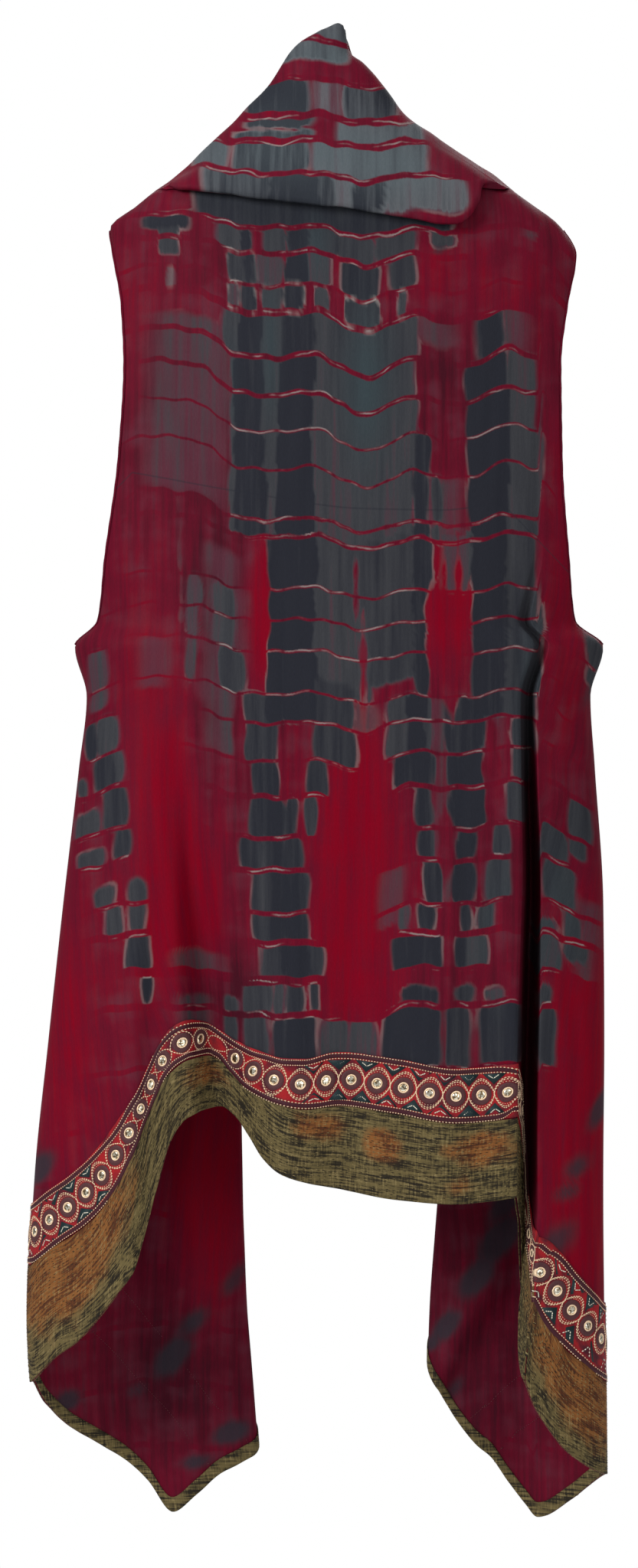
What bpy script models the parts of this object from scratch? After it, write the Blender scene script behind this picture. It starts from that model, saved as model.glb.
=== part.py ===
"""Sleeveless open vest of draped silk, filled out on a general figure.

The vest faces +Y, so its back is at -Y, and +Z is up. The origin lies between the shoulders, where the
wearer holds the vest. One sheet of cloth runs from the left front edge, round the left side, across the
back and round the right side to the right front edge. A place on it is (c, z): c counts the stretches
0-1 left fall, 1-2 left turn, 2-3 left front, 3-4 back, 4-5 right front, 5-6 right turn, 6-7 right fall,
and z is the height. The fall is the front edge that lies back on the front, as a waterfall front does.
Lengths in the tables are millimetres.
"""

from collections import namedtuple

import bpy
import numpy as np

MILLIMETRE = 0.001

SILK_WALL = 1.2
BAND_WALL = 0.8
TURNING_WALL = 0.8
SEAM_GAP = 0.4
BAND_SEAM = 1.2
LAYER_GAP = 0.35
SLOPE_STEP = 1.0
LEAST_MITRE = 0.7
TURNING_WIDTH = 10.0
TURNING_HEIGHT = 14.0
HEM_BEAD = 1.5
BEAD_GAP = 0.5
BAND_END_HEIGHT = 4.0
ARMHOLE_STEP = 0.01
SMOOTH_ANGLE = 40.0

SECTION_POWER = 2.6
EDGE_CLUSTER = 1.3
FALL_SPLAY = 0.14
GROOVE_START = 0.70
GROOVE_END = 0.80
GROOVE_POWER = 1.8
CALM_WIDTH = 30.0

# One row a level cut through the vest: its side edges, its depths behind and before the middle, half the
# armhole's opening, how flat its ends are (0.5 is round), the two front folds, the turn's radius, and the
# width of the fall.
Section = namedtuple(
    "Section", "height left right middle back front opening ends fold_left fold_right turn fall"
)
SECTIONS = (
    Section(194, -8, 7, 12, 6, 5, 0, 0.5, -5, 2, 1.4, 2),
    Section(188, -15, 8, 12, 7, 6, 0, 0.5, -9, 2, 1.6, 3),
    Section(179, -31, 9, 11, 10, 8, 0, 0.5, -19, 3, 2.2, 5),
    Section(165, -45, 13, 10, 14, 11, 0, 0.5, -27, 5, 3, 7),
    Section(156, -51, 25, 9, 18, 14, 0, 0.5, -30, 12, 3.5, 8),
    Section(136, -64, 43, 8, 24, 18, 0, 0.5, -36, 22, 4.5, 11),
    Section(108, -90, 64, 6, 33, 25, 0, 0.5, -46, 36, 6, 16),
    Section(79, -120, 104, 4, 43, 33, 0, 0.5, -56, 56, 7, 20),
    Section(50, -150, 147, 2, 52, 42, 0, 0.5, -64, 70, 8, 25),
    Section(36, -170, 165, 1, 56, 46, 0, 0.5, -66, 75, 8, 27),
    Section(22, -187, 184, 0, 58, 48, 0, 0.5, -68, 78, 8, 30),
    Section(1, -212, 210, 0, 60, 52, 0, 0.5, -72, 82, 9, 34),
    Section(-24, -208, 222, 0, 62, 55, 14, 0.62, -76, 85, 9, 38),
    Section(-72, -199, 213, 0, 66, 60, 28, 0.8, -82, 90, 9, 46),
    Section(-129, -196, 206, 0, 70, 64, 36, 0.85, -86, 94, 9, 54),
    Section(-215, -201, 207, 0, 73, 68, 40, 0.85, -90, 98, 9, 64),
    Section(-308, -214, 214, 0, 75, 71, 34, 0.8, -92, 100, 9, 74),
    Section(-367, -222, 221, 0, 76, 73, 18, 0.7, -93, 101, 9, 80),
    Section(-391, -245, 249, 0, 76, 74, 0, 0.5, -93, 101, 9, 82),
    Section(-437, -234, 237, 0, 77, 75, 0, 0.5, -94, 102, 9, 85),
    Section(-502, -241, 241, 0, 78, 76, 0, 0.5, -94, 102, 9, 88),
    Section(-631, -256, 249, 0, 80, 78, 0, 0.5, -94, 102, 9, 92),
    Section(-760, -270, 250, 0, 82, 80, 0, 0.5, -92, 101, 9, 92),
    Section(-889, -283, 249, 0, 84, 82, 0, 0.5, -90, 98, 9, 92),
    Section(-1018, -289, 250, 0, 85, 83, 0, 0.5, -86, 89, 9, 92),
    Section(-1097, -285, 251, 0, 85, 83, 0, 0.5, -79, 87, 9, 92),
    Section(-1214, -279, 252, 0, 85, 83, 0, 0.5, -70, 87, 9, 92),
)

# The deep fold on the right of the back: where its far lip lies and how wide it is, both as parts of the
# section's width, and how deep it goes.
Groove = namedtuple("Groove", "height lip slot depth")
GROOVE = (
    Groove(194, 0.94, 0.020, 0),
    Groove(-288, 0.950, 0.022, 0),
    Groove(-402, 0.891, 0.030, 14),
    Groove(-574, 0.883, 0.036, 40),
    Groove(-789, 0.880, 0.042, 48),
    Groove(-908, 0.882, 0.042, 48),
    Groove(-981, 0.876, 0.042, 48),
    Groove(-1069, 0.856, 0.042, 48),
    Groove(-1214, 0.850, 0.042, 48),
)

# Soft folds, each along a slanting line: a positive depth goes into the vest. They grow from nothing at
# the top over the stretch called fade.
Fold = namedtuple("Fold", "top top_x bottom bottom_x depth left_width right_width fade")
BACK_FOLDS = (
    Fold(-420, -150, -840, -108, 36, 17, 36, 330),
    Fold(-500, -186, -1060, -196, -13, 30, 16, 260),
    Fold(-380, 176, -900, 160, -8, 26, 14, 200),
    Fold(-560, 18, -900, 6, 7, 26, 30, 240),
    Fold(-480, 96, -900, 104, -7, 34, 26, 240),
    Fold(-620, -48, -900, -44, -6, 20, 24, 200),
)
LEFT_FRONT_FOLDS = (
    Fold(-420, -176, -1150, -196, 9, 26, 26, 200),
    Fold(-300, -130, -1150, -140, -8, 24, 24, 200),
)
RIGHT_FRONT_FOLDS = (
    Fold(-860, 214, -1076, 96, -13, 20, 20, 90),
    Fold(-300, 150, -1150, 176, 8, 24, 24, 200),
)

# Heights of the mirror trim's top, the border's top and the hem, across each stretch.
Hem = namedtuple("Hem", "x trim border hem")
BACK_HEM = (
    Hem(-285, -912, -969, -1078),
    Hem(-262, -893, -949, -1052),
    Hem(-241, -877, -935, -1036),
    Hem(-219, -853, -915, -1011),
    Hem(-201, -828, -886, -987),
    Hem(-188, -808, -858, -969),
    Hem(-179, -788, -835, -939),
    Hem(-167, -764, -804, -895),
    Hem(-153, -744, -785, -847),
    Hem(-138, -737, -774, -827),
    Hem(-122, -740, -771, -820),
    Hem(-107, -748, -776, -818),
    Hem(-94, -755, -790, -826),
    Hem(-80, -762, -803, -845),
    Hem(-68, -766, -809, -864),
    Hem(-52, -771, -815, -878),
    Hem(-30, -772, -819, -886),
    Hem(0, -766, -816, -892),
    Hem(54, -772, -823, -902),
    Hem(110, -781, -832, -906),
    Hem(171, -777, -827, -900),
)
SIDE_HEM = (
    Hem(173, -932, -982, -1069),
    Hem(181, -936, -997, -1092),
    Hem(194, -941, -1017, -1114),
    Hem(209, -956, -1041, -1134),
    Hem(229, -981, -1058, -1151),
    Hem(252, -1007, -1080, -1165),
)
LEFT_FRONT_HEM = (
    Hem(-285, -912, -969, -1078),
    Hem(-274, -925, -984, -1101),
    Hem(-254, -941, -1014, -1124),
    Hem(-228, -968, -1043, -1142),
    Hem(-202, -1000, -1071, -1160),
    Hem(-179, -1027, -1098, -1181),
    Hem(-155, -1058, -1124, -1210),
    Hem(-135, -1083, -1147, -1195),
    Hem(-111, -1112, -1175, -1175),
    Hem(-95, -1132, -1175, -1167),
    Hem(-75, -1156, -1175, -1156),
)
RIGHT_FRONT_HEM = (
    Hem(87, -1080, -1150, -1076),
    Hem(95, -1096, -1154, -1092),
    Hem(115, -1125, -1156, -1125),
    Hem(133, -1114, -1156, -1147),
    Hem(146, -1104, -1158, -1158),
    Hem(163, -1089, -1144, -1182),
    Hem(180, -1075, -1131, -1203),
    Hem(191, -1066, -1122, -1214),
    Hem(221, -1032, -1101, -1195),
    Hem(235, -1017, -1091, -1182),
    Hem(252, -1007, -1080, -1165),
)
# Past the fold the front edge climbs along the fall, ever more steeply.
LEFT_CLIMB = (0.5, 0.028)
RIGHT_CLIMB = (1.6, 0.020)
# A hem height depends on the place it is read at, so it is found in a few rounds from a first guess.
HEM_GUESS = -950.0
HEM_ROUNDS = 4

# The lower edge of the collar at the back neck, where it rolls over in a cowl.
Cowl = namedtuple("Cowl", "x height")
COWL = (
    Cowl(-180, 36),
    Cowl(-174, 34),
    Cowl(-113, 27),
    Cowl(-49, 19),
    Cowl(9, 12),
    Cowl(50, 3),
    Cowl(81, -3),
    Cowl(108, 15),
    Cowl(130, 33),
    Cowl(151, 37),
    Cowl(180, 36),
)
COWL_OVERHANG = 13.0
COWL_ROLL = 4.0
COWL_START = 0.15
COWL_EDGE = 40.0
COWL_FADE = 75.0
COWL_FADE_TOP = 96.0
COWL_UNDER = (0.5, 1.0)

COLLAR_FOOT = 36
ARMHOLE_TOP = 1
ARMHOLE_FOOT = -391
UPPER_ROWS = (36, 22, ARMHOLE_TOP, -24, -60, -100, -150, -205, -260, -315, -367, ARMHOLE_FOOT)
BODY_ROWS = 11
EDGE_ROW = 4
MOST_SLANT = 26.0
COLLAR_ROWS = 9
COLLAR_FRONT_COLUMNS = 8
COLLAR_BACK_COLUMNS = 20
COLLAR_SIDE_COLUMNS = 6
COLLAR_TOP = 188
COLLAR_PEAK = 194

FALL_COLUMNS = 6
TURN_COLUMNS = 4
FRONT_COLUMNS = 14
BACK_COLUMNS = 31
GROOVE_COLUMNS = 6
SIDE_COLUMNS = 8
BEAD_SIDES = 6

Colour = namedtuple("Colour", "red green blue roughness")
CRIMSON = Colour(0.33, 0.008, 0.02, 0.42)
DARK_CRIMSON = Colour(0.12, 0.01, 0.025, 0.45)
TRIM_COLOUR = Colour(0.20, 0.025, 0.05, 0.5)
BORDER_COLOUR = Colour(0.11, 0.065, 0.03, 0.7)


def clear_scene():
    """Remove the startup objects."""
    for obj in list(bpy.data.objects):
        bpy.data.objects.remove(obj, do_unlink=True)


def smooth_slopes(xs, ys):
    """Slopes of a curve through the rows that never overshoots them."""
    steps = np.diff(xs)
    rises = np.diff(ys) / steps
    slopes = np.zeros_like(ys)
    slopes[0], slopes[-1] = rises[0], rises[-1]
    same_way = rises[:-1] * rises[1:] > 0
    before = 2 * steps[1:] + steps[:-1]
    after = steps[1:] + 2 * steps[:-1]
    total = before / np.where(same_way, rises[:-1], 1) + after / np.where(same_way, rises[1:], 1)
    slopes[1:-1] = np.where(same_way, (before + after) / np.where(same_way, total, 1), 0)
    return slopes


def read_table(rows, key, field, at):
    """Read one column of a table smoothly at the given values of its key column."""
    ordered = sorted(rows, key=lambda row: getattr(row, key))
    xs = np.array([getattr(row, key) for row in ordered], float)
    ys = np.array([getattr(row, field) for row in ordered], float)
    slopes = smooth_slopes(xs, ys)
    at = np.clip(at, xs[0], xs[-1])
    i = np.clip(np.searchsorted(xs, at, side="right") - 1, 0, len(xs) - 2)
    step = xs[i + 1] - xs[i]
    t = (at - xs[i]) / step
    start = (2 * t**3 - 3 * t**2 + 1) * ys[i] + (t**3 - 2 * t**2 + t) * step * slopes[i]
    end = (3 * t**2 - 2 * t**3) * ys[i + 1] + (t**3 - t**2) * step * slopes[i + 1]
    return start + end


def ease(t):
    """Go from 0 to 1 with no slope at either end."""
    t = np.clip(t, 0, 1)
    return t * t * (3 - 2 * t)


def section_at(z):
    """Every measure of the section at height z."""
    return Section(z, *[read_table(SECTIONS, "height", name, z) for name in Section._fields[1:]])


def fold_depth(folds, x, z):
    """How far the soft folds push the cloth into the vest."""
    depth = np.zeros_like(x)
    for fold in folds:
        along = np.clip((fold.top - z) / (fold.top - fold.bottom), 0, 1.2)
        away = x - (fold.top_x + (fold.bottom_x - fold.top_x) * along)
        width = np.where(away < 0, fold.left_width, fold.right_width)
        depth += fold.depth * np.exp(-((away / width) ** 2)) * ease((fold.top - z) / fold.fade)
    return depth


def bow(x, section, depth):
    """Distance of the plain section from its middle line."""
    centre = (section.left + section.right) / 2
    half = (section.right - section.left) / 2
    across = np.clip(np.abs((x - centre) / half), 0, 1)
    swell = (1 - across**SECTION_POWER) ** section.ends
    return section.opening + SEAM_GAP / 2 + (depth - section.opening) * swell


def back_surface(c, z):
    """Points of the back, with its deep fold."""
    section = section_at(z)
    lip = read_table(GROOVE, "height", "lip", z)
    slot = read_table(GROOVE, "height", "slot", z)
    part = c - 3
    main = (lip - slot) * (np.clip(part / GROOVE_START, 0, 1)) ** EDGE_CLUSTER
    inside = np.clip((part - GROOVE_START) / (GROOVE_END - GROOVE_START), 0, 1)
    side = np.clip((part - GROOVE_END) / (1 - GROOVE_END), 0, 1)
    side_share = (1 - np.cos(np.pi * side)) / 2
    share = main + slot * inside + (1 - lip) * side_share
    x = section.left + (section.right - section.left) * share
    y = section.middle - bow(x, section, section.back)
    edge_calm = ease((x - section.left) / CALM_WIDTH) * ease((section.right - x) / CALM_WIDTH)
    y = y + fold_depth(BACK_FOLDS, x, z) * edge_calm
    y = y + read_table(GROOVE, "height", "depth", z) * (1 - np.abs(2 * inside - 1) ** GROOVE_POWER)
    return np.stack([x, y, z + 0 * x], axis=-1)


def front_surface(side, c, z):
    """Points of one front with its turn and its fall. side is -1 on the left and 1 on the right."""
    section = section_at(z)
    if side < 0:
        edge, fold, folds, count = section.left, section.fold_left, LEFT_FRONT_FOLDS, 3 - c
    else:
        edge, fold, folds, count = section.right, section.fold_right, RIGHT_FRONT_FOLDS, c - 4
    across = np.clip(count, 0, 1) ** EDGE_CLUSTER
    turned = np.pi * np.clip(count - 1, 0, 1)
    fallen = section.fall * np.clip(count - 2, 0, 1)
    x = edge + (fold + side * section.turn - edge) * across
    edge_calm = ease(np.abs(x - edge) / CALM_WIDTH)
    y = section.middle + bow(x, section, section.front)
    y = y + fold_depth(folds, x, z) * edge_calm
    x = x - side * section.turn * np.sin(turned) + side * fallen * np.cos(FALL_SPLAY)
    y = y + section.turn * (1 - np.cos(turned)) + fallen * np.sin(FALL_SPLAY)
    return np.stack([x, y, z + 0 * x], axis=-1)


def surface(stretch, c, z):
    """Points of the cloth at (c, z) on the stretch called left, back or right."""
    if stretch == "back":
        return back_surface(c, z)
    return front_surface(-1 if stretch == "left" else 1, c, z)


STRETCHES = {"left": (0, 3), "back": (3, 4), "right": (4, 7)}
SEAMS = (3, 4)


def unit(vectors):
    """The vectors at length 1."""
    return vectors / np.linalg.norm(vectors, axis=-1, keepdims=True)


def outward(stretch, c, z):
    """Directions out of the right side at each column, longer at a sharp turn so that the wall stays even."""
    upward = surface(stretch, c, z + SLOPE_STEP) - surface(stretch, c, z - SLOPE_STEP)
    before = np.concatenate([c[:, :1], c[:, :-1]], axis=1)
    after = np.concatenate([c[:, 1:], c[:, -1:]], axis=1)
    here = surface(stretch, c, z)
    back_way = here - surface(stretch, before, z)
    on_way = surface(stretch, after, z) - here
    back_way[:, 0] = on_way[:, 0]
    on_way[:, -1] = back_way[:, -1]
    first, second = unit(np.cross(back_way, upward)), unit(np.cross(on_way, upward))
    normal = unit(first + second)
    closed = np.isin(c, SEAMS) & (section_at(z).opening < 1)
    normal[..., 1] = np.where(closed, 0, normal[..., 1])
    reach = np.maximum(np.sum(normal * first, axis=-1, keepdims=True), LEAST_MITRE)
    reach[closed] = 1
    return unit(normal) / reach


def hem_heights(stretch, c):
    """Heights of the trim's top, the border's top and the hem at each column."""
    levels = []
    for field in Hem._fields[1:]:
        z = np.full_like(c, HEM_GUESS)
        for _ in range(HEM_ROUNDS):
            z = hem_once(stretch, field, c, z)
        levels.append(z)
    return levels


def hem_once(stretch, field, c, z):
    """One step of finding a hem height, from the column's place at height z."""
    if stretch == "back":
        x = back_surface(c, z)[..., 0]
        part = c - 3
        inside = (part - GROOVE_START) / (GROOVE_END - GROOVE_START)
        near = read_table(BACK_HEM, "x", field, x)
        far = read_table(SIDE_HEM, "x", field, x)
        last = getattr(BACK_HEM[-1], field)
        first = getattr(SIDE_HEM[0], field)
        middle = last + (first - last) * ease(inside)
        return np.where(inside <= 0, near, np.where(inside >= 1, far, middle))
    side, table, climb = (-1, LEFT_FRONT_HEM, LEFT_CLIMB)
    count = 3 - c
    if stretch == "right":
        side, table, climb = (1, RIGHT_FRONT_HEM, RIGHT_CLIMB)
        count = c - 4
    flat = 3 - np.minimum(count, 1) if side < 0 else 4 + np.minimum(count, 1)
    x = front_surface(side, flat, z)[..., 0]
    height = read_table(table, "x", field, x)
    if field != "hem":
        return height
    section = section_at(z)
    past = section.turn * np.pi * np.clip(count - 1, 0, 1) + section.fall * np.clip(count - 2, 0, 1)
    return height + climb[0] * past + climb[1] * past**2


def columns(stretch):
    """Where the grid's columns lie."""
    if stretch == "back":
        main = np.linspace(0, GROOVE_START, BACK_COLUMNS + 1)
        groove = np.linspace(GROOVE_START, GROOVE_END, GROOVE_COLUMNS + 1)
        side = np.linspace(GROOVE_END, 1, SIDE_COLUMNS + 1)
        return 3 + np.concatenate([main, groove[1:], side[1:]])
    fall = np.linspace(0, 1, FALL_COLUMNS + 1)
    turn = np.linspace(1, 2, TURN_COLUMNS + 1)
    front = np.linspace(2, 3, FRONT_COLUMNS + 1)
    left = np.concatenate([fall, turn[1:], front[1:]])
    return left if stretch == "left" else 7 - left[::-1]


def panel_rows(stretch, c):
    """Heights of a panel's rows at each column, from its top to its hem."""
    trim, border, hem = hem_heights(stretch, c)
    turning = hem + TURNING_HEIGHT
    border = np.maximum(border, turning + EDGE_ROW)
    trim = np.maximum(trim, border + EDGE_ROW)
    upper = [np.full_like(c, height) for height in UPPER_ROWS]
    upper[0] = upper[0] - SEAM_GAP
    body = [upper[-1] + (trim - upper[-1]) * (i + 1) / BODY_ROWS for i in range(BODY_ROWS)]
    return np.array(upper + body + [(trim + border) / 2, border, (border + turning) / 2, turning, hem])


def grid_triangles(rows, falls, offset, flipped):
    """Two triangles a cell, split along the more level diagonal. falls says where the rows fall to the right."""
    count = len(falls) + 1
    i, j = np.meshgrid(np.arange(rows - 1), np.arange(count - 1), indexing="ij")
    first = (offset + i * count + j).ravel()
    below, beside, across = first + count, first + 1, first + count + 1
    down = falls[j.ravel()][:, None]
    upper = np.where(down, np.stack([first, below, beside], 1), np.stack([first, below, across], 1))
    lower = np.where(down, np.stack([below, across, beside], 1), np.stack([first, across, beside], 1))
    found = np.concatenate([upper, lower])
    return found[:, ::-1] if flipped else found


def rim(count_points, order, flipped):
    """Join the two layers along a closed run of their points."""
    following = np.roll(order, -1)
    near = np.stack([order, following, following + count_points], 1)
    far = np.stack([order, following + count_points, order + count_points], 1)
    found = np.concatenate([near, far])
    return found[:, ::-1] if flipped else found


def add_object(name, points, triangles, colour):
    """Make one named object from points in millimetres."""
    corners = points[triangles]
    volume = np.einsum("ij,ij->i", corners[:, 0], np.cross(corners[:, 1], corners[:, 2])).sum()
    if volume < 0:
        triangles = triangles[:, ::-1]
    mesh = bpy.data.meshes.new(name)
    mesh.from_pydata((points * MILLIMETRE).tolist(), [], triangles.tolist())
    mesh.shade_smooth()
    mesh.set_sharp_from_angle(angle=np.radians(SMOOTH_ANGLE))
    mesh.materials.append(cloth_material(name, colour))
    obj = bpy.data.objects.new(name, mesh)
    bpy.context.scene.collection.objects.link(obj)
    return obj


def cloth_material(name, colour):
    """Plain material in the cloth's main colour."""
    material = bpy.data.materials.new(name)
    material.use_nodes = True
    shader = material.node_tree.nodes["Principled BSDF"]
    shader.inputs["Base Color"].default_value = (colour.red, colour.green, colour.blue, 1)
    shader.inputs["Roughness"].default_value = colour.roughness
    shader.inputs["Metallic"].default_value = 0
    return material


def add_sheet(name, points, normals, lift, wall, colour, falls=None):
    """Close a grid of points as a sheet whose mid surface is lifted along the normals."""
    rows, count = points.shape[:2]
    if falls is None:
        falls = np.zeros(count - 1, bool)
    outer = (points + normals * (lift + wall / 2)).reshape(-1, 3)
    inner = (points + normals * (lift - wall / 2)).reshape(-1, 3)
    index = np.arange(rows * count).reshape(rows, count)
    order = np.concatenate([index[0, :-1], index[:-1, -1], index[-1, :0:-1], index[:0:-1, 0]])
    triangles = np.concatenate(
        [
            grid_triangles(rows, falls, 0, False),
            grid_triangles(rows, falls, rows * count, True),
            rim(rows * count, order, False),
        ]
    )
    return add_object(name, np.concatenate([outer, inner]), triangles, colour)


def add_panel(name, stretch):
    """One silk panel from the foot of the collar to the hem."""
    c = columns(stretch)
    z = panel_rows(stretch, c)
    falls = np.diff(hem_heights(stretch, c)[0]) < 0
    c = np.broadcast_to(c, z.shape)
    add_sheet(name, surface(stretch, c, z), outward(stretch, c, z), 0, SILK_WALL, CRIMSON, falls)


def collar_columns():
    """Columns of the collar: fewer than the panels have, and the same turns and falls."""
    edge = columns("left")[: FALL_COLUMNS + TURN_COLUMNS + 1]
    left = np.concatenate([edge, np.linspace(2, 3, COLLAR_FRONT_COLUMNS + 1)[1:]])
    main = np.linspace(0, GROOVE_START, COLLAR_BACK_COLUMNS + 1)
    side = np.linspace(GROOVE_END, 1, COLLAR_SIDE_COLUMNS + 1)
    return left, 3 + np.concatenate([main, side]), 7 - left[::-1]


def add_collar():
    """The stand at the nape, whose back rolls over at its foot and tucks in on the back panel."""
    grids, facings = [], []
    for stretch, c in zip(("left", "back", "right"), collar_columns()):
        share = np.linspace(0, 1, COLLAR_ROWS + 1)[:, None]
        c = np.broadcast_to(c, (COLLAR_ROWS + 1, len(c)))
        top = COLLAR_TOP + (COLLAR_PEAK - COLLAR_TOP) * (stretch == "back") * np.sin(np.pi * (c - 3)) ** 2
        foot = np.full(c.shape, float(COLLAR_FOOT))
        weight = np.zeros(c.shape)
        if stretch == "back":
            x = back_surface(c, foot)[..., 0]
            section = section_at(COLLAR_FOOT)
            weight = ease((x - section.left) / COWL_EDGE) * ease((section.right - x) / COWL_EDGE)
            drop = ease((weight - COWL_START) / (1 - COWL_START))
            foot = COLLAR_FOOT + (read_table(COWL, "x", "height", x) - COLLAR_FOOT) * drop
        z = top + (foot - top) * share
        points, normals = surface(stretch, c, z), unit(outward(stretch, c, z))
        overhang = weight * COWL_OVERHANG * ease((COWL_FADE_TOP - z) / COWL_FADE)
        points = points + normals * overhang[..., None]
        under = np.array(COWL_UNDER)[:, None]
        last = weight[-1:]
        hung = COWL_OVERHANG * last
        lift = hung + (np.minimum(hung, SILK_WALL + LAYER_GAP) - hung) * under
        under_z = foot[-1:] + last**2 * COWL_ROLL * (2 * under - 1) * under - SEAM_GAP * (1 - last) * under
        under_c = np.broadcast_to(c[-1:], under_z.shape)
        flat, facing = surface(stretch, under_c, under_z), unit(outward(stretch, under_c, under_z))
        grids.append(np.concatenate([points, flat + facing * lift[..., None]]))
        facings.append(np.concatenate([normals, facing]))
    grid = join_stretches(grids)
    facing = unit(join_stretches(facings))
    grid[..., 2] += SEAM_GAP
    add_sheet("collar", grid, facing, 0, SILK_WALL, DARK_CRIMSON)


def join_stretches(grids):
    """Put the three stretches side by side, with one shared column at each side seam."""
    left, back, right = grids
    first = (left[:, -1:] + back[:, :1]) / 2
    second = (back[:, -1:] + right[:, :1]) / 2
    return np.concatenate([left[:, :-1], first, back[:, 1:-1], second, right[:, 1:]], axis=1)


def add_band(name, heights_of, lift, wall, colour):
    """A band along the hem on the right or the wrong side. heights_of gives its rows at each column."""
    grids, facings, trims = [], [], []
    for stretch in STRETCHES:
        c = columns(stretch)
        trim, border, hem = hem_heights(stretch, c)
        z = np.array(heights_of(trim, border, hem, slant(surface(stretch, c, border))))
        keep = z[0] - z[-1] > BAND_END_HEIGHT
        z = z[:, keep]
        c = np.broadcast_to(c[keep], z.shape)
        grids.append(surface(stretch, c, z))
        facings.append(outward(stretch, c, z))
        trims.append(np.broadcast_to(trim[keep][None, :, None], (1, keep.sum(), 1)))
    falls = np.diff(join_stretches(trims)[0, :, 0]) < 0
    add_sheet(name, join_stretches(grids), join_stretches(facings), lift, wall, colour, falls)


def slant(line):
    """How many times longer a vertical gap is than one square to the line."""
    run = np.concatenate([[0], np.cumsum(np.linalg.norm(np.diff(line[:, :2], axis=0), axis=1))])
    return np.minimum(np.hypot(1, np.gradient(line[:, 2], run)), MOST_SLANT)


def trim_rows(trim, border, hem, slanted):
    """Rows of the mirror trim, which runs down to the front edge once the border has ended."""
    low = np.maximum(border + BAND_SEAM * slanted, hem)
    return trim, (trim + low) / 2, low


def border_rows(trim, border, hem, slanted):
    """Rows of the woven border."""
    turning = np.minimum(hem + TURNING_HEIGHT, (border + hem) / 2)
    return border, (border + turning) / 2, turning, hem


def turning_rows(trim, border, hem, slanted):
    """Rows of the hem's turning."""
    return hem + TURNING_HEIGHT, hem


def add_bands():
    """Mirror trim and border on the right side, and the hem's turning on the wrong side."""
    laid_on = SILK_WALL / 2 + LAYER_GAP + BAND_WALL / 2
    turned_in = SILK_WALL / 2 + LAYER_GAP + TURNING_WALL / 2
    add_band("mirror_trim", trim_rows, laid_on, BAND_WALL, TRIM_COLOUR)
    add_band("woven_border", border_rows, laid_on, BAND_WALL, BORDER_COLOUR)
    add_band("hem_turning", turning_rows, -turned_in, TURNING_WALL, BORDER_COLOUR)


def add_front_turning(name, stretch):
    """The narrow turning down one front edge, on the wrong side."""
    edge = 0.0 if stretch == "left" else 7.0
    z = panel_rows(stretch, np.array([edge]))[1:-3]
    width = TURNING_WIDTH / section_at(z).fall
    share = np.array([1.0, 0.0]) if stretch == "left" else np.array([0.0, 1.0])
    c = (edge + width * share) if stretch == "left" else (edge - width * (1 - share))
    c = np.sort(c, axis=1)
    z = np.broadcast_to(z, c.shape)
    lift = -(SILK_WALL / 2 + LAYER_GAP + TURNING_WALL / 2)
    add_sheet(name, surface(stretch, c, z), outward(stretch, c, z), lift, TURNING_WALL, DARK_CRIMSON)


def add_armhole_hem(name, front):
    """The rolled edge round one armhole: a bead that follows the edges of the back and the front."""
    z = np.array([height for height in UPPER_ROWS if ARMHOLE_FOOT < height < ARMHOLE_TOP], float)
    edge, inward = (3.0, ARMHOLE_STEP) if front == "left" else (4.0, -ARMHOLE_STEP)
    runs = []
    for stretch, into in (("back", inward), (front, -inward)):
        c = np.full_like(z, edge)
        rim_points = surface(stretch, c, z)
        ahead = surface(stretch, c + into, z) - rim_points
        runs.append(rim_points - unit(ahead) * (HEM_BEAD + BEAD_GAP))
    path = np.concatenate([runs[0], runs[1][::-1]])
    add_bead(name, path, HEM_BEAD, DARK_CRIMSON)


def add_bead(name, path, radius, colour):
    """A round bead along a closed path that lies near a plane across X."""
    along = unit(np.roll(path, -1, axis=0) - np.roll(path, 1, axis=0))
    sideways = unit(np.array([1.0, 0.0, 0.0]) - along * along[:, :1])
    other = np.cross(along, sideways)
    angles = 2 * np.pi * np.arange(BEAD_SIDES) / BEAD_SIDES
    ring = np.cos(angles)[None, :, None] * sideways[:, None] + np.sin(angles)[None, :, None] * other[:, None]
    points = (path[:, None] + radius * ring).reshape(-1, 3)
    i, j = np.meshgrid(np.arange(len(path)), np.arange(BEAD_SIDES), indexing="ij")
    ahead, beside = (i + 1) % len(path), (j + 1) % BEAD_SIDES
    corner = (i * BEAD_SIDES + j).ravel()
    next_corner = (ahead * BEAD_SIDES + j).ravel()
    across = (ahead * BEAD_SIDES + beside).ravel()
    beside_corner = (i * BEAD_SIDES + beside).ravel()
    triangles = np.concatenate(
        [np.stack([corner, next_corner, across], 1), np.stack([corner, across, beside_corner], 1)]
    )
    add_object(name, points, triangles, colour)


def main():
    clear_scene()
    add_panel("back_panel", "back")
    add_panel("left_front", "left")
    add_panel("right_front", "right")
    add_collar()
    add_bands()
    add_front_turning("front_turning_left", "left")
    add_front_turning("front_turning_right", "right")
    add_armhole_hem("armhole_hem_left", "left")
    add_armhole_hem("armhole_hem_right", "right")


main()
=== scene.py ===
"""Looks of the draped silk vest: dyed silk, embroidered mirror trim and running-stitch border.

The vest faces +Y, so its back is at -Y, and +Z is up. One sheet of cloth runs from the left front edge,
round the left side, across the back and round the right side to the right front edge. A place on it is
(c, z): c counts the stretches 0-1 left fall, 1-2 left turn, 2-3 left front, 3-4 back, 4-5 right front,
5-6 right turn, 6-7 right fall, and z is the height. Tables are in millimetres, meshes in metres.
"""

from collections import namedtuple
from operator import attrgetter

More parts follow.
